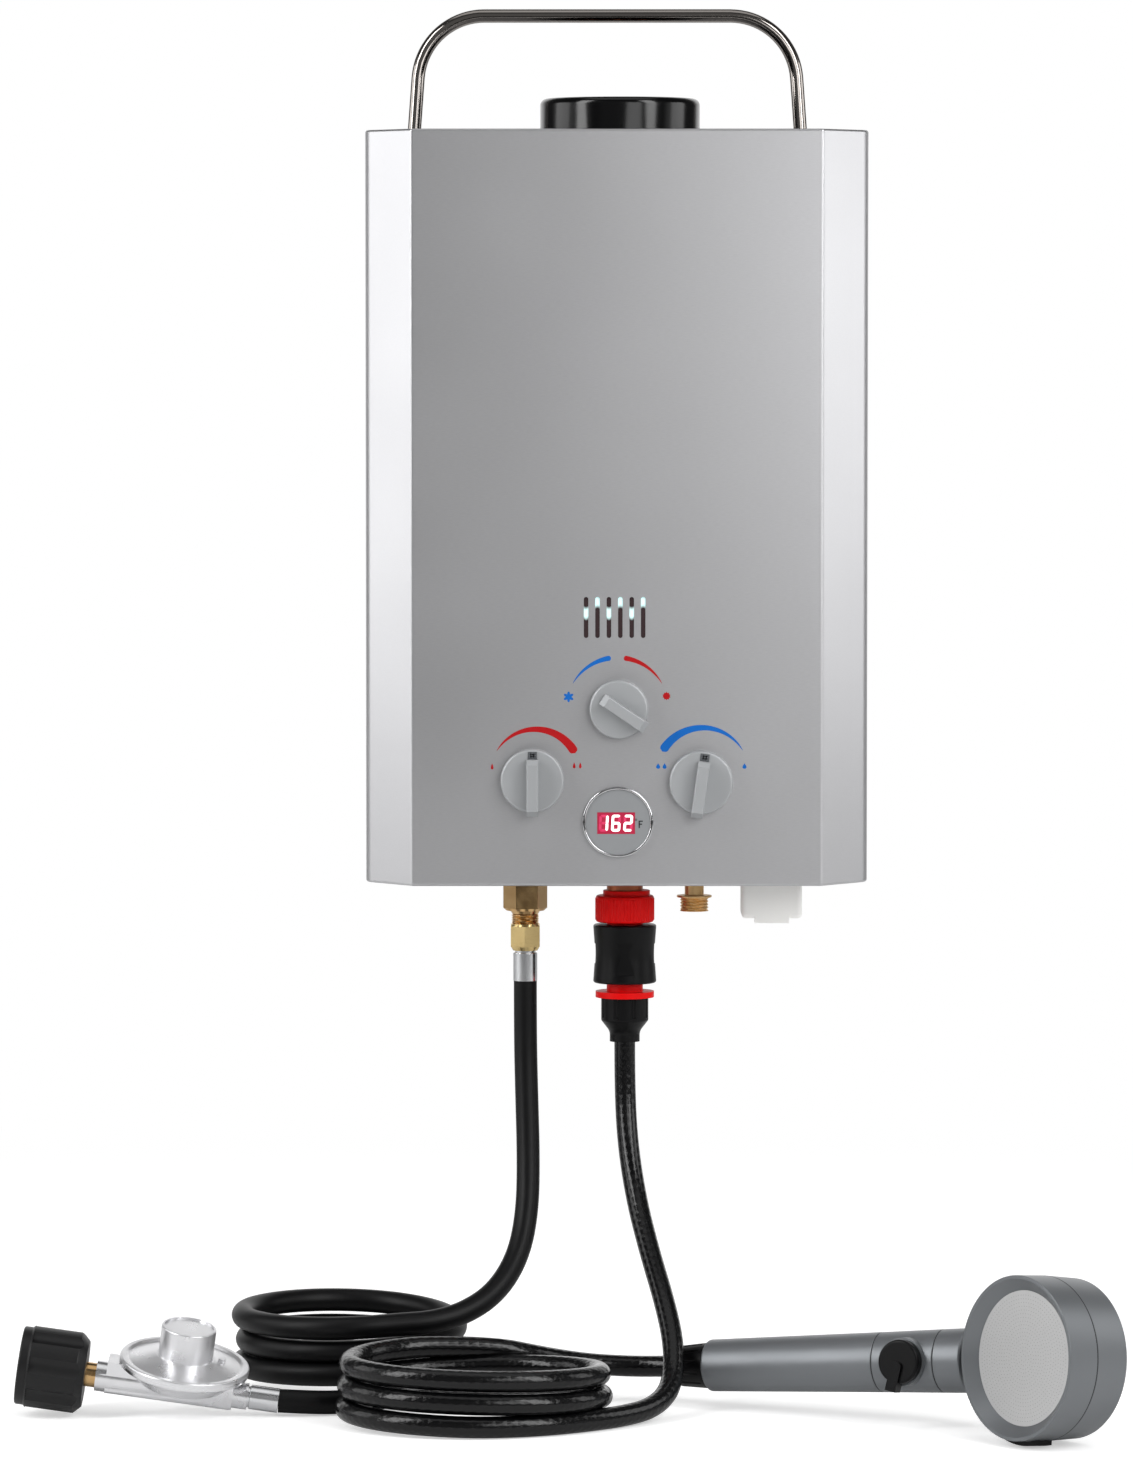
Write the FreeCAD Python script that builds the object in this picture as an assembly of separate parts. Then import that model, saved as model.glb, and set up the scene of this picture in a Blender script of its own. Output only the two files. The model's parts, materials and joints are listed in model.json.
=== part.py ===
import FreeCAD, Part
import math
import os

# Portable propane water heater: a wall-hung casing with a gas hose and regulator on its left
# port and a shower hose and handset on its middle port. All sizes are in millimetres.
# Frame: the origin is the centre of the hanging hole in the rear face of the back plate.
# +X is to the right as the user faces the heater, +Y goes into the wall, +Z is up.

Vector = FreeCAD.Vector

# ---------------------------------------------------------------- driving sizes: casing
casing_width = 290.0
casing_height = 434.0
casing_depth = 120.0
bevel_width = 27.0
bevel_depth = 30.0
cover_sheet = 0.8
bend_radius = 2.6
lip_width = 6.0
chassis_sheet = 1.0
back_flange_depth = 18.0
sheet_fit = 0.3
wall_gap = 0.5
screw_inset = 45.0
screw_head_radius = 3.6
screw_head_height = 2.0
screw_recess = 0.9

hang_hole_drop = 30.0
hang_hole_radius = 6.0
hang_slot_width = 6.0
hang_slot_rise = 12.0
lower_hole_rise = 20.0
lower_hole_spacing = 200.0
lower_hole_radius = 3.0

# ---------------------------------------------------------------- driving sizes: handle
rod_radius = 4.0
handle_side_inset = 31.55
handle_rise = 69.0
handle_corner_radius = 39.0
handle_splay = 4.2
handle_offset = -5.0
handle_back_gap = 8.0
pivot_drop = 12.0
foot_bend_radius = 9.0
foot_length = 18.0
ear_thickness = 2.0
ear_width = 22.0
pivot_clearance = 0.08
notch_clearance = 2.0

# ---------------------------------------------------------------- driving sizes: flue
flue_x = 2.0
collar_radius = 46.3
collar_height = 18.8
collar_wall = 2.2
collar_rim_radius = 4.0
collar_mouth_lip = 2.0
collar_flange_width = 5.0
collar_flange = 1.2
flue_fit = 0.5
flue_sheet = 0.8
hood_neck_drop = 12.0
hood_height = 52.0

# ---------------------------------------------------------------- driving sizes: front panel
slot_count = 6
slot_pitch = 6.55
slot_width = 2.6
slot_height = 23.6
slots_x = -1.4
slots_rise = 154.5
window_thickness = 1.6
window_margin = 6.0

knob_gap = 0.3
knob_height = 8.0
knob_rib_width = 6.6
knob_rib_height = 8.5
knob_rib_reach = 0.68
knob_tail_reach = 1.1
knob_edge = 1.4
knob_wall = 1.8
knob_hub_radius = 5.5
knob_rib_edge = 0.7
large_knob_radius = 18.2
small_knob_radius = 16.8
gas_knob_x = -48.6
gas_knob_rise = 61.0
season_knob_x = 1.0
season_knob_rise = 102.0
water_knob_x = 48.2
water_knob_rise = 60.0
season_pointer = -56.0
water_pointer = 8.0
spindle_radius = 3.0
spindle_clearance = 0.08
spindle_hole_gap = 1.5
spindle_reach = 5.5

display_x = 0.5
display_rise = 37.0
display_radius = 20.4
bezel_width = 1.8
bezel_edge = 0.8
bezel_height = 2.6
display_recess = 0.9
display_barrel_radius = 17.0
display_depth = 9.0
board_width = 52.0
board_height = 30.0
board_sheet = 1.6
board_socket_width = 20.0
board_socket_height = 12.0
board_socket_depth = 5.0
digit_recess = 0.3
digit_window_width = 21.8
digit_window_height = 12.5
digit_window_shift = 1.0
digit_window_drop = 0.6

# ---------------------------------------------------------------- driving sizes: inside
inner_side_gap = 52.0
inner_front_gap = 16.0
inner_back_gap = 20.0
fin_block_height = 46.0
fin_count = 12
fin_thickness = 2.0
fin_tube_radius = 8.0
season_boss_radius = 4.6
valve_boss_radius = 9.0
pipe_clearance = 2.0
season_valve_rise = 14.8
view_hole_width = 44.0
view_hole_height = 26.0
chamber_sheet = 0.8
coil_tube_radius = 6.5
coil_gap = 0.4
burner_count = 7
burner_thickness = 11.0
burner_height = 26.0
burner_tray_height = 12.0
burner_tray_sheet = 1.6
burner_sheet = 0.9
burner_side_gap = 8.0
electrode_radius = 4.0
electrode_spread = 0.12
electrode_lift = 4.0
electrode_clearance = 0.6
manifold_height = 20.0
valve_setback = 32.0
gas_valve_radius = 15.0
water_valve_radius = 20.0
water_valve_reach = 12.0
pipe_radius = 6.0
pipe_bend_radius = 14.0
pipe_run_rise = 40.0
pipe_run_setback = 20.0
pipe_drop_slant = 12.0
coil_bend_radius = 18.0
coil_start_share = 0.3
coil_rise_share = 0.5
chamber_corner = 10.0
hood_corner = 12.0
solenoid_length = 24.0
valve_boss_gap = 4.8
gas_valve_length = 48.0
gas_valve_left = 21.0
cold_port_wall = 2.5
diaphragm_chamber_length = 14.0
diaphragm_chamber_taper = 9.0
micro_switch_length = 17.0
micro_switch_width = 10.0
micro_switch_height = 8.0
ignition_box_width = 34.0
ignition_box_depth = 26.0
ignition_box_height = 72.0
ignition_box_rise = 60.0
ignition_box_gap = 4.0
ignition_box_edge = 2.0
air_slot_width = 3.2
air_slot_length = 24.0
air_slot_pitch = 16.0
air_slot_count = 9

# ---------------------------------------------------------------- driving sizes: ports
port_y = -50.0
gas_port_x = -53.1
outlet_port_x = 5.1
cold_port_x = 45.7
battery_side_inset = 54.4

union_flats = 24.4
union_height = 20.4
union_neck_radius = 7.6
union_turn = 36.0
union_spigot_wall = 1.5
union_neck_height = 7.9
hose_nut_flats = 18.1
hose_nut_height = 15.6
ferrule_gap = 1.1
ferrule_radius = 7.0
ferrule_length = 16.7
gas_hose_radius = 6.75

outlet_stub_height = 11.6
adaptor_radius = 17.0
adaptor_height = 15.6
adaptor_neck_height = 1.4
plug_radius = 7.0
plug_length = 22.0
collar_grip_radius = 18.5
collar_waist = 1.2
collar_facet_width = 22.0
finger_flute_radius = 9.0
finger_flute_depth = 1.0
finger_flute_length = 12.0
collar_length = 34.2
collar_travel = 5.0
collar_clearance = 0.1
stem_radius = 10.6
stem_bore_gap = 0.3
stem_flange_radius = 17.1
stem_flange_height = 3.5
shower_nut_radius = 13.8
shower_nut_height = 13.6
shower_flute_count = 8
shower_flute_radius = 1.6
shower_flute_depth = 0.9
sleeve_radius = 8.75
sleeve_taper_height = 6.5
sleeve_height = 5.9
shower_hose_radius = 6.1

cold_stem_radius = 5.6
cold_stem_height = 11.6
cold_shoulder_radius = 10.2
cold_shoulder_height = 1.2
cold_thread_radius = 8.33
cold_thread_length = 8.2
cold_bore_radius = 4.5

battery_box_width = 35.1
battery_box_depth = 33.0
battery_box_drop = 16.1
battery_lid_height = 7.1
battery_latch_width = 20.0
battery_latch_drop = 2.7
battery_latch_thickness = 3.0
battery_hinge_radius = 1.6
contact_radius = 8.0
battery_corner_radius = 3.0
cell_radius = 13.1
cell_nub_height = 1.5
cell_nub_radius = 4.0
cell_length = 50.0
cell_clearance = 0.4
cell_spring_height = 3.0
cell_top_wall = 3.0

# ---------------------------------------------------------------- driving sizes: regulator
cylinder_nut_radius = 23.4
cylinder_nut_length = 38.0
cylinder_nut_bore = 16.7
cylinder_nut_wall = 8.0
nut_band_length = 5.0
nut_band_step = 1.2
nut_end_chamfer = 4.5
nut_flute_count = 8
nut_flute_radius = 8.0
nut_flute_depth = 2.0
nipple_radius = 7.0
nipple_recess = 13.0
nipple_collar_radius = 9.4
nipple_nose_length = 8.0
nipple_collar_length = 3.0
nipple_exposed = 6.0
nipple_clearance = 0.1
inlet_boss_radius = 8.75
inlet_boss_length = 12.0
diaphragm_radius = 37.0
diaphragm_rise = 14.0
rim_thickness = 5.0
bowl_base_radius = 24.0
bowl_depth = 12.0
bonnet_rise = 5.4
bonnet_edge = 2.6
bonnet_rim_width = 3.4
bonnet_rim_round = 1.1
cap_radius = 15.6
cap_height = 17.6
cap_rim = 1.4
cap_recess = 1.0
vent_radius = 2.0
vent_height = 4.0
regulator_roll = 12.0
outlet_boss_radius = 7.6
channel_half_width = 7.8
channel_reach = 0.8
channel_edge = 3.0
regulator_ferrule_length = 17.6

# ---------------------------------------------------------------- driving sizes: handset
swivel_nut_length = 18.7
swivel_nut_small = 11.6
swivel_nut_large = 13.2
swivel_gap = 0.3
swivel_flute_count = 12
swivel_flute_radius = 1.4
swivel_flute_depth = 0.8
grip_start_radius = 14.8
grip_end_radius = 17.0
grip_length = 109.5
housing_length = 38.5
housing_end_radius = 17.9
neck_collar_length = 17.3
neck_collar_end = 18.3
handset_seam = 0.5
neck_ring_length = 4.5
neck_ring_radius = 13.5
neck_radius = 10.5
switch_radius = 12.5
switch_height = 5.2
switch_gap = 0.3
switch_pad_radius = 13.6
switch_pad_rise = 1.0
switch_lever_width = 6.5
switch_lever_reach = 17.0
switch_position = 20.5
switch_edge = 1.6
switch_lean = 0.28
head_radius = 45.8
head_front_depth = 20.0
head_rear_depth = 24.0
head_rear_radius = 44.4
head_wall = 2.6
bezel_lip = 2.0
face_plate_radius = 37.6
face_plate_depth = 6.0
face_plate_thickness = 1.6
face_plate_lap = 1.0
face_plate_gap = 0.1
neck_depth = 56.0
lever_reach = 2.6
lever_width = 26.0
lever_length = 12.0
lever_gap = 0.3

# ---------------------------------------------------------------- where the loose ends lie
floor_z = -702.0
regulator_end_x = -193.0
regulator_end_y = -175.0
regulator_end_lift = 1.6
regulator_heading = 0.0
regulator_tilt = 8.0
handset_x = 37.3
handset_y = -136.4
handset_rise = 22.8
head_x = 219.0
head_y = -290.0
head_rise = 50.0
head_facing = Vector(-0.79, -0.606, 0.09)
regulator_end = Vector(regulator_end_x, regulator_end_y, floor_z + ferrule_radius + regulator_end_lift)
nut_end = Vector(handset_x, handset_y, floor_z + handset_rise)
head_front_centre = Vector(head_x, head_y, floor_z + head_rise)

# ---------------------------------------------------------------- coils of hose
gas_coil_centre = Vector(-154.8, -72.0, 0.0)
gas_coil_radius = 62.3
gas_coil_height = 56.0
shower_coil_centre = Vector(-81.0, -206.0, 0.0)
shower_coil_half_width = 71.5
shower_coil_half_depth = 52.5
shower_coil_height = 45.5
coil_floor_gap = 0.2

# ---------------------------------------------------------------- levels that follow
top_z = hang_hole_drop
bottom_z = top_z - casing_height
front_y = -casing_depth
chassis_top = top_z - cover_sheet
chassis_bottom = bottom_z + cover_sheet
top_plate_under = chassis_top - chassis_sheet
bottom_plate_top = chassis_bottom + chassis_sheet
inner_front_y = front_y + cover_sheet
hood_bottom = chassis_top - hood_neck_drop - hood_height
fin_bottom = hood_bottom - fin_block_height
manifold_bottom = bottom_z + season_knob_rise - season_valve_rise
boss_front_y = inner_front_y + valve_boss_gap
tray_bottom = manifold_bottom + manifold_height
chamber_bottom = tray_bottom + burner_tray_height
chamber_height = fin_bottom - chamber_bottom
slots_z = bottom_z + slots_rise
display_z = bottom_z + display_rise
handle_span = casing_width - 2 * handle_side_inset
inner_width = casing_width - 2 * inner_side_gap
inner_depth = casing_depth - inner_front_gap - inner_back_gap
flue_y = -inner_back_gap - inner_depth / 2
valve_y = front_y + valve_setback
battery_x = casing_width / 2 - battery_side_inset

DOWN = Vector(0, 0, -1)
UP = Vector(0, 0, 1)
FRONT = Vector(0, -1, 0)
BACK = Vector(0, 1, 0)
RIGHT = Vector(1, 0, 0)
ORIGIN = Vector(0, 0, 0)


# ---------------------------------------------------------------- small shape tools
def rod(radius, length, base, direction):
    return Part.makeCylinder(radius, length, base, direction)


def tube(outer, inner, length, base, direction):
    return rod(outer, length, base, direction).cut(rod(inner, length, base, direction))


def block(x_low, x_high, y_low, y_high, z_low, z_high):
    size = (x_high - x_low, y_high - y_low, z_high - z_low)
    return Part.makeBox(*size, Vector(x_low, y_low, z_low))


def axes_placement(base, along, upward):
    """Placement that carries local X to along and local Z as near as it can to upward."""
    x_axis = Vector(along)
    x_axis.normalize()
    y_axis = Vector(upward).cross(x_axis)
    y_axis.normalize()
    z_axis = x_axis.cross(y_axis)
    return FreeCAD.Placement(base, FreeCAD.Rotation(x_axis, y_axis, z_axis, "XZY"))


def placed(shape, base, along, upward):
    moved = shape.copy()
    moved.Placement = axes_placement(base, along, upward).multiply(moved.Placement)
    return moved


def corner_arc(before, corner, after, radius):
    """Arc of a radius that rounds one corner, with the points where it starts and ends."""
    arriving = corner - before
    leaving = after - corner
    turn = arriving.getAngle(leaving)
    arriving.normalize()
    leaving.normalize()
    reach = radius * math.tan(turn / 2)
    first = corner - arriving * reach
    last = corner + leaving * reach
    towards = leaving - arriving
    towards.normalize()
    middle = corner + towards * radius * (1 / math.cos(turn / 2) - 1)
    return first, Part.Arc(first, middle, last).toShape(), last


def rounded_wire(points, radii):
    """Closed outline of straight runs, with an arc at each corner whose radius isn't zero."""
    ends = []
    edges = []
    for index, corner in enumerate(points):
        if radii[index] == 0:
            ends.append((corner, corner))
            continue
        after = points[(index + 1) % len(points)]
        first, arc, last = corner_arc(points[index - 1], corner, after, radii[index])
        ends.append((first, last))
        edges.append(arc)
    for index, (_, start) in enumerate(ends):
        end = ends[(index + 1) % len(ends)][0]
        if (end - start).Length > 1e-6:
            edges.append(Part.LineSegment(start, end).toShape())
    return Part.Wire(Part.sortEdges(edges)[0])


def turned(outline, base, direction):
    """Solid of revolution: outline is (radius, distance along direction, optional fillet) corners."""
    points = [Vector(corner[0], 0, corner[1]) for corner in outline]
    radii = [corner[2] if len(corner) > 2 else 0 for corner in outline]
    face = Part.Face(rounded_wire(points, radii))
    solid = face.revolve(ORIGIN, UP, 360)
    solid.Placement = FreeCAD.Placement(base, FreeCAD.Rotation(UP, direction))
    return solid


def fluted(solid, count, radius, start, end):
    """Cuts round flutes in a solid about +Z; start and end are (reach, height) of each flute's axis."""
    for index in range(count):
        angle = math.radians(360 * (index + 0.5) / count)
        outward = Vector(math.cos(angle), math.sin(angle), 0)
        base = outward * start[0] + UP * start[1]
        run = outward * end[0] + UP * end[1] - base
        solid = solid.cut(rod(radius, run.Length, base, run))
    return solid


def laid(solid):
    """A solid about +Z turned to lie along +X."""
    turned_solid = solid.copy()
    turned_solid.rotate(ORIGIN, BACK, 90)
    return turned_solid


def hexagon(flats, length, base, direction, turn):
    corner = flats / 2 / math.cos(math.pi / 6)
    points = []
    for index in range(6):
        angle = math.radians(turn + 60 * index)
        points.append(Vector(corner * math.cos(angle), corner * math.sin(angle), 0))
    face = Part.Face(Part.makePolygon(points + points[:1]))
    solid = face.extrude(Vector(0, 0, length))
    solid.Placement = FreeCAD.Placement(base, FreeCAD.Rotation(UP, direction))
    return solid


def edges_along(shape, direction):
    """Straight edges that run along one direction."""
    found = []
    for edge in shape.Edges:
        if edge.Curve.TypeId != "Part::GeomLine":
            continue
        if edge.tangentAt(edge.FirstParameter).cross(direction).Length < 1e-6:
            found.append(edge)
    return found


def bent_wire(points, radii):
    """Straight runs between points, joined at each inner point by an arc of its radius."""
    edges = []
    start = points[0]
    for index in range(1, len(points) - 1):
        first, arc, last = corner_arc(points[index - 1], points[index], points[index + 1], radii[index - 1])
        edges.append(Part.LineSegment(start, first).toShape())
        edges.append(arc)
        start = last
    edges.append(Part.LineSegment(start, points[-1]).toShape())
    return Part.Wire(edges)


def swept_round(points, radii, radius):
    path = bent_wire(points, radii)
    direction = points[1] - points[0]
    section = Part.Wire(Part.Circle(points[0], direction, radius).toShape())
    return path.makePipeShell([section], True, False), path.Length


def hose_radii(points):
    """Each bend takes 0.45 of the shorter of the two runs that meet there."""
    radii = []
    for index in range(1, len(points) - 1):
        arriving = points[index] - points[index - 1]
        leaving = points[index + 1] - points[index]
        turn = arriving.getAngle(leaving)
        shorter = min(arriving.Length, leaving.Length)
        radii.append(0.45 * shorter / math.tan(turn / 2))
    return radii


def hose(name, points, radius):
    radii = hose_radii(points)
    solid, length = swept_round(points, radii, radius)
    expected = math.pi * radius * radius * length
    tight = ", ".join(f"{value:.0f}" for value in radii)
    print(f"{name}: length {length:.0f}, volume ratio {solid.Volume / expected:.4f}, radii {tight}")
    return solid


# ---------------------------------------------------------------- casing
def casing_prism(inset, back_y, z_low, z_high, corner_radius):
    """Upright prism of the casing's plan, each wall moved in by inset."""
    slant = math.hypot(bevel_width, bevel_depth)
    side_x = casing_width / 2 - inset
    side_y = -(casing_depth - bevel_depth) + inset * (slant - bevel_depth) / bevel_width
    front_x = casing_width / 2 - bevel_width - inset * (slant - bevel_width) / bevel_depth
    face_y = front_y + inset
    plan = [(-side_x, back_y), (-side_x, side_y), (-front_x, face_y),
            (front_x, face_y), (side_x, side_y), (side_x, back_y)]
    points = [Vector(x, y, z_low) for x, y in plan]
    face = Part.Face(Part.makePolygon(points + points[:1]))
    solid = face.extrude(Vector(0, 0, z_high - z_low))
    if corner_radius > 0:
        bends = [edge for edge in edges_along(solid, UP) if edge.Vertexes[0].Y < back_y - 1]
        solid = solid.makeFillet(corner_radius, bends)
    return solid


def knob_places():
    return {
        "gas": (gas_knob_x, bottom_z + gas_knob_rise),
        "season": (season_knob_x, bottom_z + season_knob_rise),
        "water": (water_knob_x, bottom_z + water_knob_rise),
    }


def make_front_cover():
    beyond = 2 * chassis_sheet
    shell = casing_prism(0, -wall_gap, bottom_z, top_z, bend_radius)
    hollow = casing_prism(cover_sheet, beyond, chassis_bottom, chassis_top, bend_radius - cover_sheet)
    mouth = casing_prism(lip_width, beyond, bottom_z - beyond, top_z + beyond, 0)
    cover = shell.cut(hollow).cut(mouth)
    half_straight = slot_height / 2 - slot_width / 2
    for index in range(slot_count):
        x = slots_x + (index - (slot_count - 1) / 2) * slot_pitch
        cover = cover.cut(block(x - slot_width / 2, x + slot_width / 2, front_y - beyond,
                                front_y + beyond, slots_z - half_straight, slots_z + half_straight))
        for end in (-half_straight, half_straight):
            base = Vector(x, front_y - beyond, slots_z + end)
            cover = cover.cut(rod(slot_width / 2, 2 * beyond, base, BACK))
    for x, z in knob_places().values():
        hole = rod(spindle_radius + spindle_hole_gap, 2 * beyond, Vector(x, front_y - beyond, z), BACK)
        cover = cover.cut(hole)
    display_base = Vector(display_x, front_y - beyond, display_z)
    return cover.cut(rod(display_barrel_radius + sheet_fit, 2 * beyond, display_base, BACK))


def make_back_plate():
    half = casing_width / 2 - cover_sheet - sheet_fit
    plate = block(-half, half, -chassis_sheet, 0, chassis_bottom, chassis_top)
    for side in (-1, 1):
        edges = sorted((side * half, side * (half - chassis_sheet)))
        flange = block(edges[0], edges[1], -back_flange_depth, 0, bottom_plate_top, top_plate_under)
        plate = plate.fuse(flange)
    through = 4 * chassis_sheet
    plate = plate.cut(rod(hang_hole_radius, through, Vector(0, through / 2, 0), FRONT))
    plate = plate.cut(block(-hang_slot_width / 2, hang_slot_width / 2, -through / 2, through / 2,
                            0, hang_slot_rise))
    plate = plate.cut(rod(hang_slot_width / 2, through, Vector(0, through / 2, hang_slot_rise), FRONT))
    for side in (-1, 1):
        base = Vector(side * lower_hole_spacing / 2, through / 2, bottom_z + lower_hole_rise)
        plate = plate.cut(rod(lower_hole_radius, through, base, FRONT))
        leg = side * handle_leg_span(-pivot_drop) / 2
        inner = leg - side * (rod_radius + notch_clearance)
        outer = leg + side * (foot_bend_radius + notch_clearance)
        notch = sorted((handle_offset + inner, handle_offset + outer))
        notch_low = top_z - pivot_drop - rod_radius - notch_clearance
        plate = plate.cut(block(notch[0], notch[1], -through / 2, through / 2, notch_low, top_z + through))
    return plate.removeSplitter()


def make_top_plate():
    plate = casing_prism(cover_sheet + sheet_fit, -chassis_sheet, top_plate_under, chassis_top, 0)
    drop = 2 * chassis_sheet
    base = Vector(flue_x, flue_y, top_plate_under - drop)
    plate = plate.cut(rod(hood_neck_radius() + sheet_fit, 3 * drop, base, UP))
    slot = rod_radius + notch_clearance
    for side in (-1, 1):
        inner = handle_offset + side * handle_leg_span(0) / 2 - side * slot
        outer = handle_offset + side * handle_leg_span(-pivot_drop) / 2 + side * slot
        edges = sorted((inner, outer))
        plate = plate.cut(block(edges[0], edges[1], -handle_back_gap - slot, 0,
                                top_plate_under - drop, chassis_top + drop))
    return plate


def make_bottom_plate():
    plate = casing_prism(cover_sheet + sheet_fit, -chassis_sheet, chassis_bottom, bottom_plate_top, 0)
    drop = 2 * chassis_sheet
    for x, radius in ((gas_port_x, union_neck_radius), (outlet_port_x, pipe_radius),
                      (cold_port_x, cold_stem_radius)):
        base = Vector(x, port_y, chassis_bottom - drop)
        plate = plate.cut(rod(radius + sheet_fit, 3 * drop, base, UP))
    half_x = battery_box_width / 2 + sheet_fit
    half_y = battery_box_depth / 2 + sheet_fit
    plate = plate.cut(block(battery_x - half_x, battery_x + half_x, port_y - half_y, port_y + half_y,
                            chassis_bottom - drop, bottom_plate_top + drop))
    first_x = gas_port_x - union_flats
    slot_front = inner_front_y + air_slot_width * 2
    for index in range(air_slot_count):
        x = first_x + index * air_slot_pitch
        plate = plate.cut(block(x - air_slot_width / 2, x + air_slot_width / 2,
                                slot_front, slot_front + air_slot_length,
                                chassis_bottom - drop, bottom_plate_top + drop))
    return plate


def make_cover_screws():
    crown = screw_head_height * 0.6
    outline = [(0, 0), (screw_head_radius, 0), (screw_head_radius, screw_head_height - crown),
               (screw_head_radius - crown, screw_head_height), (0, screw_head_height)]
    head = turned(outline, ORIGIN, UP)
    reach = screw_head_radius * 0.6
    half = screw_recess / 2
    for half_x, half_y in ((reach, half), (half, reach)):
        head = head.cut(block(-half_x, half_x, -half_y, half_y, screw_head_height - screw_recess,
                              screw_head_height + screw_recess))
    screws = []
    for side in (-1, 1):
        for z in (top_z - screw_inset, bottom_z + screw_inset):
            screw = head.copy()
            base = Vector(side * casing_width / 2, -back_flange_depth / 2, z)
            screw.Placement = FreeCAD.Placement(base, FreeCAD.Rotation(UP, Vector(side, 0, 0)))
            screws.append(screw)
    return Part.makeCompound(screws)


# ---------------------------------------------------------------- handle
def handle_leg_span(height):
    """Distance between the leg centrelines at a height above the casing's top edge."""
    return handle_span - 2 * height * math.tan(math.radians(handle_splay))


def make_carry_handle():
    y = -handle_back_gap
    foot_z = top_z - pivot_drop
    foot_x = handle_leg_span(-pivot_drop) / 2
    bar_z = top_z + handle_rise
    bar_x = handle_leg_span(handle_rise) / 2
    right = [(foot_x + foot_length, foot_z), (foot_x, foot_z), (bar_x, bar_z)]
    left = [(-x, z) for x, z in reversed(right)]
    points = [Vector(handle_offset + x, y, z) for x, z in right + left]
    radii = [foot_bend_radius, handle_corner_radius, handle_corner_radius, foot_bend_radius]
    handle, length = swept_round(points, radii, rod_radius)
    print(f"carry handle rod: {length:.0f} long")
    return handle


def handle_ears():
    """Side, inner face X and outer face X of the two pivot ears."""
    ears = []
    for side in (-1, 1):
        middle = handle_offset + side * (handle_leg_span(-pivot_drop) / 2 + foot_bend_radius
                                         + ear_thickness)
        ears.append((side, middle - side * ear_thickness / 2, middle + side * ear_thickness / 2))
    return ears


def make_handle_brackets():
    brackets = []
    pivot_z = top_z - pivot_drop
    ear_depth = handle_back_gap + rod_radius + 2 * ear_thickness
    half = ear_width / 2
    for side, inner, outer in handle_ears():
        low, high = sorted((inner, outer))
        ear = block(low, high, -ear_depth, -chassis_sheet, pivot_z - half, pivot_z + half / 2)
        foot_edge = inner - side * ear_width * 0.8
        low, high = sorted((outer, foot_edge))
        foot = block(low, high, -chassis_sheet - ear_thickness, -chassis_sheet,
                     pivot_z - half - ear_width, pivot_z - half)
        web_low, web_high = sorted((inner, outer))
        web = block(web_low, web_high, -ear_depth, -chassis_sheet, pivot_z - half - ear_width / 2,
                    pivot_z - half)
        bracket = ear.fuse(foot).fuse(web)
        base = Vector(inner - side * ear_thickness, -handle_back_gap, pivot_z)
        bore = rod(rod_radius + pivot_clearance, 3 * ear_thickness, base, Vector(side, 0, 0))
        brackets.append(bracket.cut(bore).removeSplitter())
    return Part.makeCompound(brackets)


# ---------------------------------------------------------------- flue
def hood_neck_radius():
    return collar_radius - collar_wall - flue_fit


def make_flue_collar():
    base = Vector(flue_x, flue_y, chassis_top)
    inner = collar_radius - collar_wall
    height = collar_height + cover_sheet
    rim = collar_rim_radius
    flange = collar_radius + collar_flange_width
    mouth = inner - collar_mouth_lip
    outline = [(inner, 0), (flange, 0), (flange, collar_flange), (collar_radius, collar_flange),
               (collar_radius, height, rim), (mouth, height), (mouth, height - collar_wall),
               (inner, height - collar_wall)]
    return turned(outline, base, UP)


def rectangle_wire(width, depth, z, corner):
    half_x = width / 2
    half_y = depth / 2
    low = Vector(flue_x - half_x, flue_y - half_y, z)
    plane = Part.makePlane(width, depth, low)
    solid = plane.extrude(Vector(0, 0, 1))
    solid = solid.makeFillet(corner, edges_along(solid, UP))
    for face in solid.Faces:
        if abs(face.CenterOfMass.z - z) < 1e-6 and abs(face.normalAt(0, 0).z) > 0.9:
            return face.OuterWire
    return plane.OuterWire


def make_exhaust_hood():
    neck = hood_neck_radius()
    neck_base = chassis_top - hood_neck_drop
    shapes = []
    for thickness in (0, flue_sheet):
        lower = rectangle_wire(inner_width - 2 * thickness, inner_depth - 2 * thickness, hood_bottom,
                               hood_corner)
        upper = Part.Wire(Part.Circle(Vector(flue_x, flue_y, neck_base), UP, neck - thickness).toShape())
        shapes.append(Part.makeLoft([lower, upper], True, False))
    taper = shapes[0].cut(shapes[1])
    ring = tube(neck, neck - flue_sheet, hood_neck_drop, Vector(flue_x, flue_y, neck_base), UP)
    return taper.fuse(ring)


# ---------------------------------------------------------------- heat exchanger and burner
def make_fin_block():
    x_low = flue_x - inner_width / 2
    y_low = flue_y - inner_depth / 2
    frame = block(x_low, x_low + inner_width, y_low, y_low + inner_depth, fin_bottom, hood_bottom)
    pitch = inner_width / fin_count
    for index in range(fin_count):
        gap_low = x_low + index * pitch + fin_thickness / 2
        gap_high = x_low + (index + 1) * pitch - fin_thickness / 2
        frame = frame.cut(block(gap_low, gap_high, y_low + fin_thickness,
                                y_low + inner_depth - fin_thickness, fin_bottom, hood_bottom))
    z = (fin_bottom + hood_bottom) / 2
    for side in (-1, 1):
        x = flue_x + side * inner_width / 2
        for y in (flue_y - inner_depth / 4, flue_y + inner_depth / 4):
            frame = frame.fuse(rod(fin_tube_radius, fin_tube_radius, Vector(x, y, z), Vector(side, 0, 0)))
    return frame


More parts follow.
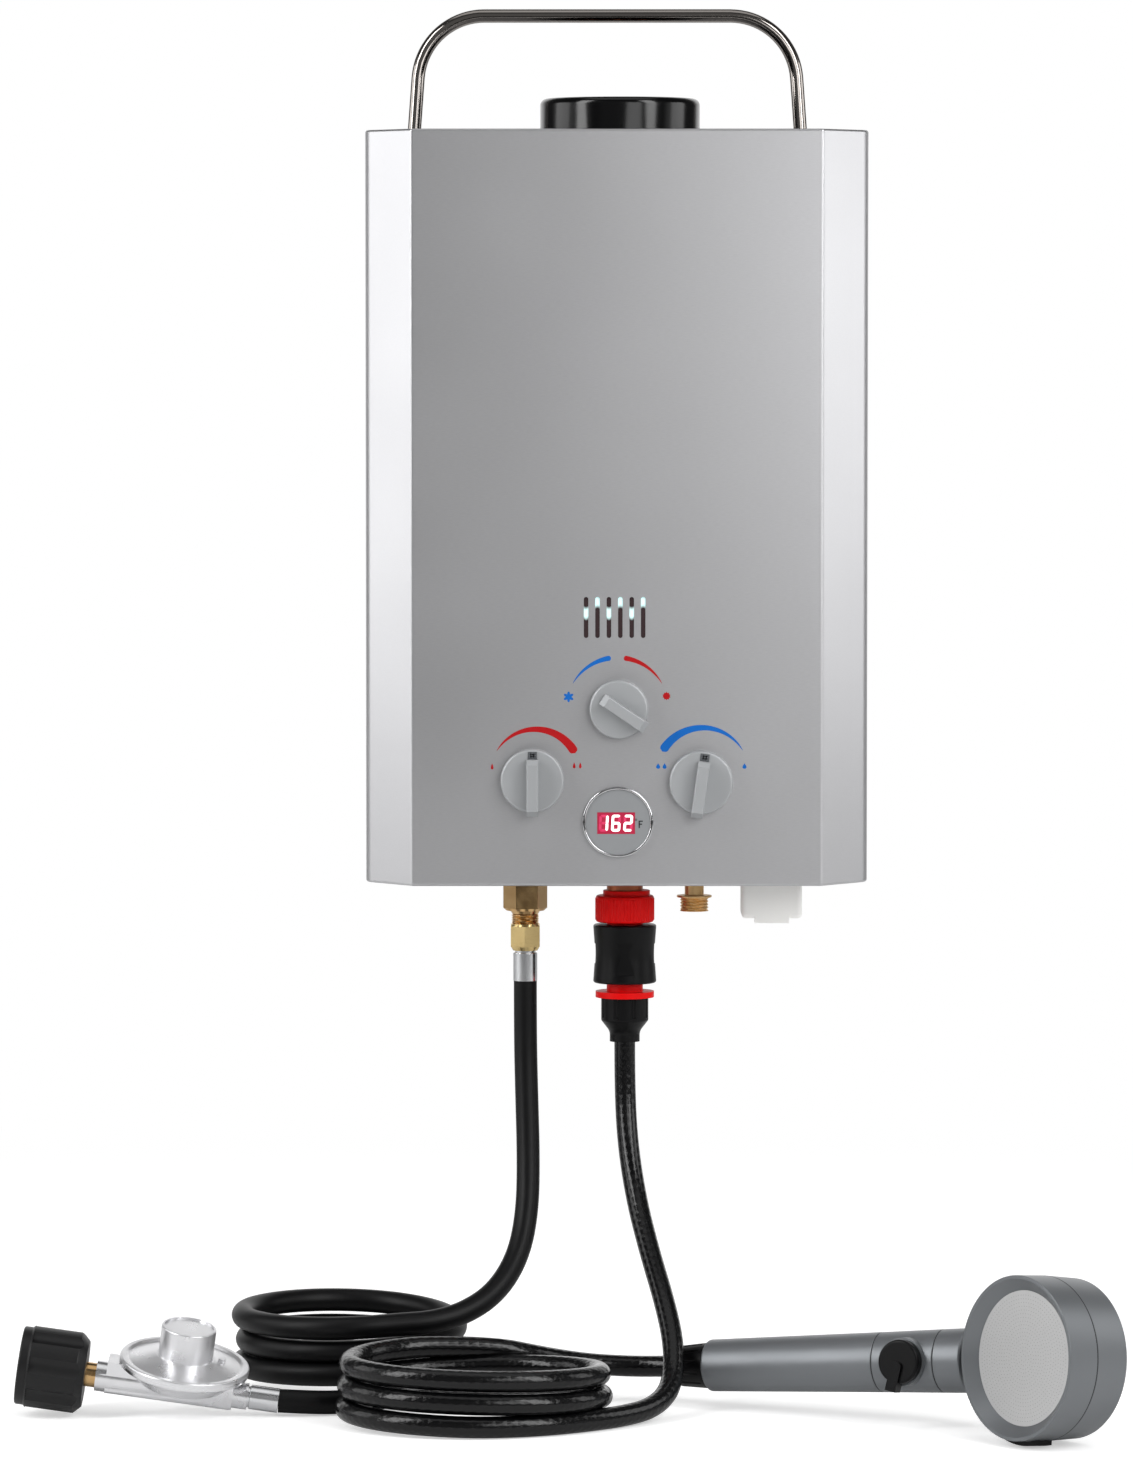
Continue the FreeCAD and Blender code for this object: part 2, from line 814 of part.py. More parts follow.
def make_chamber():
    outer = rectangle_wire(inner_width, inner_depth, chamber_bottom, chamber_corner)
    inner = rectangle_wire(inner_width - 2 * chamber_sheet, inner_depth - 2 * chamber_sheet,
                           chamber_bottom, chamber_corner - chamber_sheet)
    rise = Vector(0, 0, chamber_height)
    chamber = Part.Face(outer).extrude(rise).cut(Part.Face(inner).extrude(rise))
    front = flue_y - inner_depth / 2
    return chamber.cut(block(slots_x - view_hole_width / 2, slots_x + view_hole_width / 2,
                             front - chamber_sheet, front + 2 * chamber_sheet,
                             slots_z - view_hole_height / 2, slots_z + view_hole_height / 2))


def coil_start_z():
    return chamber_bottom + chamber_height * coil_start_share


def make_chamber_coil():
    """Water tube wound once round the combustion chamber, rising to the fin block."""
    reach_x = inner_width / 2 + coil_gap + coil_tube_radius
    reach_y = inner_depth / 2 + coil_gap + coil_tube_radius
    low = coil_start_z()
    rise = chamber_height * coil_rise_share
    corners = [(-reach_x, 0), (-reach_x, -reach_y), (reach_x, -reach_y), (reach_x, reach_y),
               (-reach_x, reach_y), (-reach_x, 0)]
    points = []
    for index, (x, y) in enumerate(corners):
        points.append(Vector(flue_x + x, flue_y + y, low + rise * index / (len(corners) - 1)))
    coil, length = swept_round(points, [coil_bend_radius] * (len(points) - 2), coil_tube_radius)
    print(f"chamber coil tube: {length:.0f} long")
    return coil


def make_burner_bars():
    """Folded sheet bars, open below, each with a bevelled crown."""
    bars = []
    pitch = inner_width / (burner_count + 0.5)
    bar_depth = inner_depth - 2 * burner_side_gap
    for index in range(burner_count):
        x = flue_x + (index - (burner_count - 1) / 2) * pitch
        skins = []
        for inset in (0, burner_sheet):
            half_width = burner_thickness / 2 - inset
            half_depth = bar_depth / 2 - inset
            bar = block(x - half_width, x + half_width, flue_y - half_depth, flue_y + half_depth,
                        chamber_bottom - inset, chamber_bottom + burner_height - inset)
            crown = [edge for edge in edges_along(bar, BACK)
                     if edge.Vertexes[0].Z > chamber_bottom + burner_height / 2]
            skins.append(bar.makeChamfer(burner_thickness * 0.3, crown))
        bars.append(skins[0].cut(skins[1]))
    return Part.makeCompound(bars)


def make_burner_frame():
    x_low = flue_x - inner_width / 2
    y_low = flue_y - inner_depth / 2
    wall = burner_tray_sheet
    tray = block(x_low, x_low + inner_width, y_low, y_low + inner_depth, tray_bottom, chamber_bottom)
    hollow = block(x_low + wall, x_low + inner_width - wall, y_low + wall, y_low + inner_depth - wall,
                   tray_bottom, chamber_bottom - wall)
    air_gap = block(x_low + 3 * wall, x_low + inner_width - 3 * wall, y_low + inner_depth * 0.75,
                    y_low + inner_depth - 3 * wall, tray_bottom, chamber_bottom)
    return tray.cut(hollow).cut(air_gap)


def make_gas_manifold():
    y = flue_y - inner_depth / 4
    z_high = chamber_bottom - burner_tray_sheet
    bar = block(flue_x - inner_width * 0.4, flue_x + inner_width * 0.4, y - manifold_height / 2,
                y + manifold_height / 2, manifold_bottom, z_high)
    bar = bar.makeFillet(3.0, edges_along(bar, RIGHT))
    x, z = knob_places()["season"]
    boss = rod(season_boss_radius, season_boss_length(), Vector(x, y, z), FRONT)
    bore = rod(spindle_radius + spindle_clearance, casing_depth,
               Vector(x, spindle_inner_y("season"), z), FRONT)
    return bar.fuse(boss).cut(bore)


def season_boss_length():
    return flue_y - inner_depth / 4 - boss_front_y


# ---------------------------------------------------------------- valves and inner pipes
def spindle_inner_y(name):
    if name == "season":
        return flue_y - inner_depth / 4 - manifold_height / 4
    return valve_y - gas_valve_radius / 2


def make_gas_valve_body():
    x, z = knob_places()["gas"]
    barrel = rod(gas_valve_radius, gas_valve_length, Vector(x - gas_valve_left, valve_y, z), RIGHT)
    boss = rod(valve_boss_radius, valve_y - boss_front_y, Vector(x, valve_y, z), FRONT)
    inlet_radius = union_neck_radius + union_spigot_wall
    port = rod(inlet_radius, port_y - valve_y, Vector(gas_port_x, valve_y, z), BACK)
    elbow = rod(inlet_radius, z - bottom_plate_top, Vector(gas_port_x, port_y, z), DOWN)
    riser_x = x + gas_valve_radius
    riser = rod(pipe_radius, manifold_bottom - z, Vector(riser_x, valve_y, z), UP)
    body = barrel.fuse([boss, port, elbow, riser])
    bore = rod(spindle_radius + spindle_clearance, casing_depth, Vector(x, spindle_inner_y("gas"), z), FRONT)
    return body.cut(bore)


def make_solenoid():
    x, z = knob_places()["gas"]
    left = x - gas_valve_left
    radius = gas_valve_radius * 0.75
    outline = [(0, 0), (radius, 0), (radius, solenoid_length * 0.75), (radius / 2, solenoid_length),
               (0, solenoid_length)]
    return turned(outline, Vector(left, valve_y, z), Vector(-1, 0, 0))


def water_valve_span():
    """X of the diaphragm joint and the right end of the water valve."""
    x, z = knob_places()["gas"]
    joint = x - gas_valve_left + gas_valve_length
    return joint, joint + diaphragm_chamber_length


def make_water_valve_body():
    x, z = knob_places()["water"]
    start, joint = water_valve_span()
    taper = diaphragm_chamber_taper
    bell = turned([(0, 0), (water_valve_radius * 0.6, 0), (water_valve_radius, taper),
                   (water_valve_radius, joint - start + taper), (0, joint - start + taper)],
                  Vector(start, valve_y, z), RIGHT)
    barrel = rod(water_valve_radius * 0.6, x + water_valve_reach - joint, Vector(joint, valve_y, z), RIGHT)
    boss = rod(valve_boss_radius, valve_y - boss_front_y, Vector(x, valve_y, z), FRONT)
    port_radius = cold_stem_radius + cold_port_wall
    port = rod(port_radius, port_y - valve_y, Vector(cold_port_x, valve_y, z), BACK)
    elbow = rod(port_radius, z - bottom_plate_top, Vector(cold_port_x, port_y, z), DOWN)
    switch_low = z + water_valve_radius * 0.9
    switch_right = joint + taper
    micro_switch = block(switch_right - micro_switch_length, switch_right, valve_y - micro_switch_width / 2,
                         valve_y + micro_switch_width / 2, switch_low, switch_low + micro_switch_height)
    body = bell.fuse([barrel, boss, port, elbow, micro_switch])
    bore_start = Vector(x, spindle_inner_y("water"), z)
    bore = rod(spindle_radius + spindle_clearance, casing_depth, bore_start, FRONT)
    return body.cut(bore)


def make_cold_pipe():
    """Copper pipe from the water valve up to a tube end of the fin block."""
    x, z = knob_places()["water"]
    coil_edge = flue_x + inner_width / 2 + coil_gap + 2 * coil_tube_radius
    right_x = coil_edge + pipe_radius + pipe_clearance
    side_y = flue_y - inner_depth / 4
    top_of_run = (fin_bottom + hood_bottom) / 2
    points = [Vector(x + water_valve_reach, valve_y, z), Vector(right_x, valve_y, z),
              Vector(right_x, side_y, top_of_run),
              Vector(flue_x + inner_width / 2 + fin_tube_radius, side_y, top_of_run)]
    pipe, length = swept_round(points, [2 * pipe_radius, 2 * pipe_radius], pipe_radius)
    print(f"cold pipe: {length:.0f} long")
    return pipe


def make_hot_pipe():
    """Copper pipe from the chamber coil down to the outlet port."""
    low = coil_start_z()
    left_x = flue_x - inner_width / 2 - coil_gap - coil_tube_radius
    start = Vector(left_x, flue_y, low)
    lowest = bottom_plate_top + pipe_run_rise
    back_y = port_y + pipe_run_setback
    outlet_end = Vector(outlet_port_x, port_y, chassis_bottom - outlet_stub_height * 0.4)
    points = [start, Vector(left_x, back_y, low), Vector(left_x, back_y, lowest),
              Vector(outlet_port_x, back_y, lowest), Vector(outlet_port_x, port_y, lowest - pipe_drop_slant),
              outlet_end]
    small_bend = pipe_bend_radius * 0.57
    radii = [pipe_bend_radius, pipe_bend_radius, small_bend, small_bend]
    pipe, length = swept_round(points, radii, pipe_radius)
    print(f"hot pipe: {length:.0f} long")
    return pipe.fuse(make_outlet_stub())


def make_ignition_box():
    x_high = casing_width / 2 - cover_sheet - ignition_box_gap
    z_low = bottom_z + ignition_box_rise
    body = block(x_high - ignition_box_width, x_high, -chassis_sheet - ignition_box_depth, -chassis_sheet,
                 z_low, z_low + ignition_box_height)
    return body.makeFillet(ignition_box_edge, edges_along(body, BACK))


def make_electrode(side):
    """Ceramic post with a stepped shoulder and a thin tip, standing off the chamber's front."""
    x = flue_x + side * inner_width * electrode_spread
    base = Vector(x, flue_y - inner_depth / 2, chamber_bottom + burner_height + electrode_lift)
    length = inner_front_gap - cover_sheet - window_thickness - electrode_clearance
    shoulder = electrode_radius * 0.65
    tip = electrode_radius * 0.22
    outline = [(0, 0), (electrode_radius, 0), (electrode_radius, length * 0.54), (shoulder, length * 0.62),
               (shoulder, length * 0.85), (tip, length * 0.85), (tip, length), (0, length)]
    return turned(outline, base, FRONT)


# ---------------------------------------------------------------- front panel pieces
def make_flame_window():
    half_x = slot_pitch * slot_count / 2 + window_margin
    half_z = slot_height / 2 + window_margin
    return block(slots_x - half_x, slots_x + half_x, inner_front_y, inner_front_y + window_thickness,
                 slots_z - half_z, slots_z + half_z)


def make_knob(radius):
    """Hollow knob with its axis on +Z, its pointer on +Y and its back face at zero."""
    knob = turned([(0, 0), (radius, 0), (radius, knob_height, knob_edge), (0, knob_height)], ORIGIN, UP)
    hollow = tube(radius - knob_wall, knob_hub_radius, knob_height - knob_wall, ORIGIN, UP)
    half = knob_rib_width / 2
    top = knob_height + knob_rib_height
    rib = block(-half, half, -knob_tail_reach * radius, knob_rib_reach * radius, knob_height / 3, top)
    ends = [edge for edge in edges_along(rib, RIGHT) if edge.Vertexes[0].Z > knob_height]
    rib = rib.makeChamfer(knob_rib_height * 0.35, ends)
    long_edges = [edge for edge in edges_along(rib, BACK) if edge.Vertexes[0].Z > knob_height]
    rib = rib.makeFillet(knob_rib_edge, long_edges)
    bore = rod(spindle_radius + spindle_clearance / 2, spindle_reach, ORIGIN, UP)
    return knob.cut(hollow).fuse(rib).cut(bore)


def mounted_knob(radius, name, pointer):
    x, z = knob_places()[name]
    knob = make_knob(radius)
    base = Vector(x, front_y - knob_gap, z)
    knob.Placement = FreeCAD.Placement(base, FreeCAD.Rotation(RIGHT, UP, FRONT, "ZXY"))
    knob.rotate(base, BACK, pointer)
    return knob


def make_spindle(name):
    x, z = knob_places()[name]
    inner = spindle_inner_y(name)
    reach = inner - (front_y - knob_gap - spindle_reach)
    return rod(spindle_radius, reach, Vector(x, inner, z), FRONT)


def make_display_bezel():
    base = Vector(display_x, front_y, display_z)
    inner = display_radius - bezel_width
    outline = [(inner, 0), (display_radius, 0), (display_radius, bezel_height, bezel_edge),
               (inner, bezel_height, bezel_edge)]
    return turned(outline, base, FRONT)


def digit_window():
    x = display_x - digit_window_shift
    z = display_z - digit_window_drop
    half_width = digit_window_width / 2
    half_height = digit_window_height / 2
    return x - half_width, x + half_width, z - half_height, z + half_height


def make_display_face():
    base = Vector(display_x, front_y, display_z)
    face = rod(display_radius - bezel_width, bezel_height - display_recess, base, FRONT)
    barrel = rod(display_barrel_radius, display_depth, base, BACK)
    x_low, x_high, z_low, z_high = digit_window()
    window = block(x_low, x_high, front_y - bezel_height, front_y + 2 * display_depth, z_low, z_high)
    return face.fuse(barrel).cut(window)


def make_display_board():
    """Circuit board behind the panel, with the digit block that looks out through the window."""
    y = front_y + display_depth
    rear = y + board_sheet
    board = block(display_x - board_width / 2, display_x + board_width / 2, y, rear,
                  display_z - board_height / 2, display_z + board_height / 2)
    socket = block(display_x - board_socket_width / 2, display_x + board_socket_width / 2, rear,
                   rear + board_socket_depth, display_z - board_socket_height, display_z)
    x_low, x_high, z_low, z_high = digit_window()
    digits = block(x_low, x_high, front_y - bezel_height + display_recess + digit_recess, y, z_low, z_high)
    return board.fuse([socket, digits])


# ---------------------------------------------------------------- ports below the casing
def port(x, drop):
    return Vector(x, port_y, chassis_bottom - drop)


def trimmed_hexagon(flats, length, base, turn, end_radius):
    """Hexagon nut hanging from base, its corners turned off at the top and tapered to end_radius."""
    corner = flats / 2 / math.cos(math.pi / 6)
    bevel = corner - flats / 2
    trim = turned([(0, 0), (flats / 2, 0), (corner, bevel), (corner, length - corner + end_radius),
                   (end_radius, length), (0, length)], base, DOWN)
    return hexagon(flats, length, base, DOWN, turn).common(trim)


def make_gas_union():
    nut = trimmed_hexagon(union_flats, union_height, port(gas_port_x, 0), union_turn, union_flats / 2)
    neck_foot = union_neck_radius * 0.3
    neck = turned([(0, 0), (union_neck_radius + neck_foot, 0), (union_neck_radius, neck_foot),
                   (union_neck_radius, union_neck_height), (0, union_neck_height)],
                  port(gas_port_x, union_height), DOWN)
    spigot = rod(union_neck_radius, chassis_sheet, port(gas_port_x, 0), UP)
    return nut.fuse([neck, spigot])


def gas_nut_drop():
    return union_height + union_neck_height


def make_gas_hose_nut():
    base = port(gas_port_x, gas_nut_drop())
    return trimmed_hexagon(hose_nut_flats, hose_nut_height, base, 0, ferrule_radius)


def ferrule_drop():
    return gas_nut_drop() + hose_nut_height + ferrule_gap


def make_gas_ferrule():
    base = port(gas_port_x, gas_nut_drop() + hose_nut_height)
    neck = ferrule_radius * 0.85
    end = ferrule_gap + ferrule_length
    outline = [(0, 0), (neck, 0), (neck, ferrule_gap), (ferrule_radius, ferrule_gap, ferrule_gap / 2),
               (ferrule_radius, end), (0, end)]
    return turned(outline, base, DOWN)


def make_outlet_stub():
    outer = adaptor_radius * 0.62
    return rod(outer, outlet_stub_height, port(outlet_port_x, 0), DOWN)


def make_tap_adaptor():
    base = port(outlet_port_x, outlet_stub_height)
    edge = adaptor_neck_height
    neck = adaptor_height + adaptor_neck_height
    outline = [(0, 0), (adaptor_radius, 0, edge), (adaptor_radius, adaptor_height, edge),
               (stem_radius, adaptor_height), (stem_radius, neck),
               (plug_radius, neck), (plug_radius, neck + plug_length), (0, neck + plug_length)]
    return turned(outline, base, DOWN)


def collar_drop():
    return outlet_stub_height + adaptor_height + adaptor_neck_height


def make_connector_collar():
    """Waisted sliding collar with a flat facet in front and a shallow finger flute on each side."""
    base = port(outlet_port_x, collar_drop())
    bore = stem_radius + collar_clearance
    edge = collar_waist
    outline = [(bore, 0), (collar_grip_radius, 0, edge),
               (collar_grip_radius - collar_waist, collar_length / 2, collar_length * 1.6),
               (collar_grip_radius, collar_length, edge), (bore, collar_length)]
    collar = turned(outline, base, DOWN)
    facet = block(outlet_port_x - collar_facet_width / 2, outlet_port_x + collar_facet_width / 2,
                  port_y - collar_grip_radius, port_y - collar_grip_radius + collar_waist,
                  base.z - collar_length * 0.85, base.z - collar_length * 0.3)
    collar = collar.cut(facet)
    reach = collar_grip_radius - collar_waist + finger_flute_radius - finger_flute_depth
    flute_low = base.z - (collar_length + finger_flute_length) / 2
    for side in (-1, 1):
        flute_base = Vector(outlet_port_x + side * reach, port_y, flute_low)
        collar = collar.cut(rod(finger_flute_radius, finger_flute_length, flute_base, UP))
    return collar


def make_connector_body():
    base = port(outlet_port_x, collar_drop())
    bore = plug_radius + stem_bore_gap
    depth = plug_length + 1.0
    lower = collar_length + collar_travel
    outline = [(bore, sheet_fit), (stem_radius, sheet_fit), (stem_radius, lower), (stem_flange_radius, lower),
               (stem_flange_radius, lower + stem_flange_height), (0, lower + stem_flange_height),
               (0, depth), (bore, depth)]
    return turned(outline, base, DOWN)


def shower_nut_drop():
    return collar_drop() + collar_length + collar_travel + stem_flange_height


def make_shower_hose_nut():
    sleeve_top = shower_nut_height + sleeve_taper_height
    end = sleeve_top + sleeve_height
    outline = [(0, 0), (shower_nut_radius, 0), (shower_nut_radius, shower_nut_height, shower_flute_radius),
               (sleeve_radius, sleeve_top, sleeve_taper_height), (sleeve_radius, end), (0, end)]
    nut = turned(outline, ORIGIN, UP)
    reach = shower_nut_radius + shower_flute_radius - shower_flute_depth
    nut = fluted(nut, shower_flute_count, shower_flute_radius, (reach, -shower_flute_radius),
                 (reach, shower_nut_height - shower_flute_radius))
    nut.Placement = FreeCAD.Placement(port(outlet_port_x, shower_nut_drop()), FreeCAD.Rotation(UP, DOWN))
    return nut


def make_cold_nipple():
    base = port(cold_port_x, -chassis_sheet)
    drop = cold_stem_height + chassis_sheet
    thread_start = drop + cold_shoulder_height
    thread_end = thread_start + cold_thread_length
    outline = [(cold_bore_radius, 0), (cold_stem_radius, 0), (cold_stem_radius, drop),
               (cold_shoulder_radius, drop), (cold_shoulder_radius, thread_start),
               (cold_thread_radius, thread_start), (cold_thread_radius, thread_end),
               (cold_bore_radius, thread_end)]
    return turned(outline, base, DOWN)


# ---------------------------------------------------------------- battery box
def battery_box_bottom():
    return bottom_z - battery_box_drop


def battery_bore_length():
    return cell_top_wall + 2 * cell_length + 2 * cell_spring_height


def make_battery_box():
    bottom = battery_box_bottom()
    half_x = battery_box_width / 2
    half_y = battery_box_depth / 2
    height = battery_bore_length() + cell_top_wall
    box = block(battery_x - half_x, battery_x + half_x, port_y - half_y, port_y + half_y,
                bottom, bottom + height)
    box = box.makeFillet(battery_corner_radius, edges_along(box, UP))
    bore = rod(cell_radius + cell_clearance, battery_bore_length(), Vector(battery_x, port_y, bottom), UP)
    contact_base = Vector(battery_x, port_y, bottom + cell_spring_height + 2 * cell_length)
    rise = battery_bore_length() - cell_spring_height - 2 * cell_length
    contact = turned([(0, 0), (contact_radius / 2, 0), (contact_radius, rise), (0, rise)], contact_base, UP)
    return box.cut(bore).fuse(contact)


def make_battery_lid():
    top = battery_box_bottom()
    half_x = battery_box_width / 2
    half_y = battery_box_depth / 2
    lid = block(battery_x - half_x, battery_x + half_x, port_y - half_y, port_y + half_y,
                top - battery_lid_height, top)
    lid = lid.makeFillet(battery_corner_radius, edges_along(lid, UP))
    low_edges = [edge for edge in lid.Edges
                 if all(abs(v.Z - (top - battery_lid_height)) < 1e-6 for v in edge.Vertexes)]
    lid = lid.makeFillet(battery_corner_radius * 0.8, low_edges)
    front = port_y - half_y
    latch = block(battery_x - battery_latch_width / 2, battery_x + battery_latch_width / 2,
                  front, front + battery_latch_thickness * 2,
                  top - battery_lid_height - battery_latch_drop, top - battery_lid_height / 2)
    knuckle_base = Vector(battery_x - battery_box_width / 4, port_y + half_y, top - battery_hinge_radius)
    knuckle = rod(battery_hinge_radius, battery_box_width / 2, knuckle_base, RIGHT)
    contact_height = cell_spring_height - sheet_fit
    outline = [(0, 0), (contact_radius, 0), (contact_radius / 2, contact_height), (0, contact_height)]
    contact = turned(outline, Vector(battery_x, port_y, top), UP)
    return lid.fuse([latch, knuckle, contact])


def make_batteries():
    cells = []
    first = battery_box_bottom() + cell_spring_height
    for index in range(2):
        base = Vector(battery_x, port_y, first + index * cell_length)
        shoulder = cell_length - cell_nub_height
        outline = [(0, 0), (cell_radius, 0), (cell_radius, shoulder), (cell_nub_radius, shoulder),
                   (cell_nub_radius, cell_length), (0, cell_length)]
        cells.append(turned(outline, base, UP))
    return Part.makeCompound(cells)


# ---------------------------------------------------------------- regulator on the gas hose
def regulator_axis():
    """Unit vector from the cylinder nut towards the hose ferrule."""
    heading = math.radians(regulator_heading)
    tilt = math.radians(regulator_tilt)
    return Vector(math.cos(heading) * math.cos(tilt), math.sin(heading) * math.cos(tilt), -math.sin(tilt))


def regulator_up():
    roll = math.radians(regulator_roll)
    return Vector(0, -math.sin(roll), math.cos(roll))


def regulator_point(distance):
    """Point on the regulator's axis, measured back from the end of its hose ferrule."""
    return regulator_end - regulator_axis() * distance


def diaphragm_distance():
    return regulator_ferrule_length + ferrule_gap + diaphragm_radius


def boss_start_distance():
    return diaphragm_distance() + diaphragm_radius + inlet_boss_length


def nut_start_distance():
    return boss_start_distance() + nipple_exposed + cylinder_nut_length


def in_regulator(shape, distance):
    return placed(shape, regulator_point(distance), regulator_axis(), regulator_up())


def make_regulator_ferrule():
    neck = outlet_boss_radius * 0.8
    outline = [(0, 0), (neck, 0), (neck, ferrule_gap), (ferrule_radius, ferrule_gap, ferrule_gap / 2),
               (ferrule_radius, regulator_ferrule_length), (0, regulator_ferrule_length)]
    return turned(outline, regulator_point(regulator_ferrule_length), regulator_axis())


def make_regulator_body():
    """Die-cast lower half: a gas channel from inlet to outlet boss under a shallow bowl."""
    inlet = rod(inlet_boss_radius, inlet_boss_length + diaphragm_radius, ORIGIN, RIGHT)
    centre_x = inlet_boss_length + diaphragm_radius
    outlet_length = boss_start_distance() - regulator_ferrule_length - centre_x
    outlet = rod(outlet_boss_radius, outlet_length, Vector(centre_x, 0, 0), RIGHT)
    low = diaphragm_rise - bowl_depth
    seat = diaphragm_rise - rim_thickness / 2
    outline = [(0, low), (bowl_base_radius, low, bowl_depth / 2),
               (diaphragm_radius - rim_thickness / 2, seat), (diaphragm_radius, seat, bonnet_rim_round),
               (diaphragm_radius, diaphragm_rise), (0, diaphragm_rise)]
    bowl = turned(outline, Vector(centre_x, 0, 0), UP)
    channel = block(inlet_boss_length / 2, centre_x + diaphragm_radius * channel_reach, -channel_half_width,
                    channel_half_width, -channel_half_width, seat)
    low_edges = [edge for edge in edges_along(channel, RIGHT) if edge.Vertexes[0].Z < 0]
    channel = channel.makeFillet(channel_edge, low_edges)
    return in_regulator(bowl.fuse([channel, inlet, outlet]), boss_start_distance())


def make_regulator_bonnet():
    """Rolled rim and domed upper half with the round cap's seat and a small vent."""
    base = diaphragm_rise
    rim = base + bonnet_edge
    groove_radius = diaphragm_radius - 1.5 * bonnet_rim_width
    outline = [(0, base), (diaphragm_radius, base), (diaphragm_radius, rim, bonnet_rim_round),
               (diaphragm_radius - bonnet_rim_width, rim, bonnet_rim_round),
               (groove_radius, base + bonnet_edge / 2, bonnet_rim_round),
               (cap_radius + 2 * bonnet_edge, base + bonnet_rise * 0.8, 2 * bonnet_edge),
               (cap_radius + bonnet_edge / 2, base + bonnet_rise, bonnet_rim_round), (0, base + bonnet_rise)]
    dome = turned(outline, ORIGIN, UP)
    vent_base = Vector(cap_radius + 2 * vent_radius + bonnet_edge / 2, 0, base + bonnet_rise / 2)
    vent = rod(vent_radius, vent_height, vent_base, UP)
    return in_regulator(dome.fuse(vent), diaphragm_distance())


def make_regulator_cap():
    base = diaphragm_rise + bonnet_rise
    top = base + cap_height
    mouth = cap_radius - cap_rim
    outline = [(0, base), (cap_radius, base), (cap_radius, top, cap_rim / 2), (mouth, top),
               (mouth, top - cap_recess), (0, top - cap_recess)]
    return in_regulator(turned(outline, ORIGIN, UP), diaphragm_distance())


def make_nipple():
    """Brass inlet nipple, from its tip inside the cylinder nut to the inlet boss."""
    length = cylinder_nut_length - nipple_recess + nipple_exposed
    shoulder = length - nipple_exposed - cylinder_nut_wall - nipple_clearance
    nose = nipple_radius * 0.8
    outline = [(0, 0), (nose, 0, nose / 4), (nose, nipple_nose_length),
               (nipple_radius, nipple_nose_length + nipple_radius - nose),
               (nipple_radius, shoulder - nipple_collar_length),
               (nipple_collar_radius, shoulder - nipple_collar_length), (nipple_collar_radius, shoulder),
               (nipple_radius, shoulder), (nipple_radius, length), (0, length)]
    return turned(outline, regulator_point(boss_start_distance() + length), regulator_axis())


def make_cylinder_nut():
    """Hand nut: a plain band round the mouth, then wide flutes that run out over the chamfered end."""
    length = cylinder_nut_length
    band = cylinder_nut_radius - nut_band_step
    bore_end = length - cylinder_nut_wall
    hole = nipple_radius + nipple_clearance
    outline = [(cylinder_nut_bore, 0), (band, 0, nut_band_step), (band, nut_band_length),
               (cylinder_nut_radius, nut_band_length + nut_band_step),
               (cylinder_nut_radius, length - nut_end_chamfer, nut_band_step),
               (cylinder_nut_radius - nut_end_chamfer, length), (hole, length), (hole, bore_end),
               (cylinder_nut_bore, bore_end)]
    reach = cylinder_nut_radius + nut_flute_radius - nut_flute_depth
    nut = fluted(turned(outline, ORIGIN, UP), nut_flute_count, nut_flute_radius,
                 (reach, nut_band_length + nut_band_step), (reach, length + nut_band_step))
    return in_regulator(laid(nut), nut_start_distance())


# ---------------------------------------------------------------- handset on the shower hose
def head_normal():
    normal = Vector(head_facing)
    normal.normalize()
    return normal


def handset_axis():
    target = head_front_centre - head_normal() * neck_depth
    axis = target - nut_end
    axis.normalize()
    return axis


def handset_point(distance):
    return nut_end + handset_axis() * distance


def switch_axis():
    """Square to the handle, as near as it can be to facing front."""
    view = Vector(-0.04, -0.988, 0.148)
    axis = view - handset_axis() * view.dot(handset_axis())
    axis.normalize()
    return axis


def make_swivel_nut():
    """Tapered nut with flutes that follow its cone."""
    edge = swivel_flute_radius / 2
    outline = [(0, 0), (swivel_nut_small, 0, edge), (swivel_nut_large, swivel_nut_length, edge),
               (0, swivel_nut_length)]
    outset = swivel_flute_radius - swivel_flute_depth
    flute_start = (swivel_nut_small + outset, -edge)
    flute_end = (swivel_nut_large + outset, swivel_nut_length - 4 * edge)
    nut = fluted(turned(outline, ORIGIN, UP), swivel_flute_count, swivel_flute_radius, flute_start, flute_end)
    nut.Placement = FreeCAD.Placement(nut_end, FreeCAD.Rotation(UP, handset_axis()))
    return nut


def grip_start():
    return swivel_nut_length + swivel_gap


def make_handset_grip():
    seam = handset_seam
    outline = [(0, 0), (grip_start_radius, 0, 3 * seam), (grip_end_radius, grip_length - seam),
               (grip_end_radius - seam, grip_length), (0, grip_length)]
    return turned(outline, handset_point(grip_start()), handset_axis())


def housing_start():
    return grip_start() + grip_length


def make_switch_housing():
    base = handset_point(housing_start())
    seam = handset_seam
    outline = [(0, 0), (grip_end_radius - seam, 0), (grip_end_radius, seam),
               (housing_end_radius, housing_length - seam), (housing_end_radius - seam, housing_length),
               (0, housing_length)]
    housing = turned(outline, base, handset_axis())
    pad_base = handset_point(housing_start() + switch_position)
    pad = rod(switch_pad_radius, housing_end_radius + switch_pad_rise, pad_base, switch_axis())
    return housing.fuse(pad)


def make_pause_switch():
    lift = housing_end_radius + switch_pad_rise + switch_gap
    base = handset_point(housing_start() + switch_position) + switch_axis() * lift
    outline = [(0, 0), (switch_radius, 0), (switch_radius, switch_height, switch_edge), (0, switch_height)]
    dial = turned(outline, ORIGIN, UP)
    half = switch_lever_width / 2
    lever = block(0, switch_lever_reach, -half, half, 0, switch_height + switch_edge)
    lever = lever.makeFillet(half * 0.8, edges_along(lever, UP)[:2])
    shape = dial.fuse(lever)
    down = switch_axis().cross(handset_axis())
    if down.z > 0:
        down = down * -1
    lean = down - handset_axis() * switch_lean
    return placed(shape, base, lean, switch_axis())


def neck_start():
    return housing_start() + housing_length


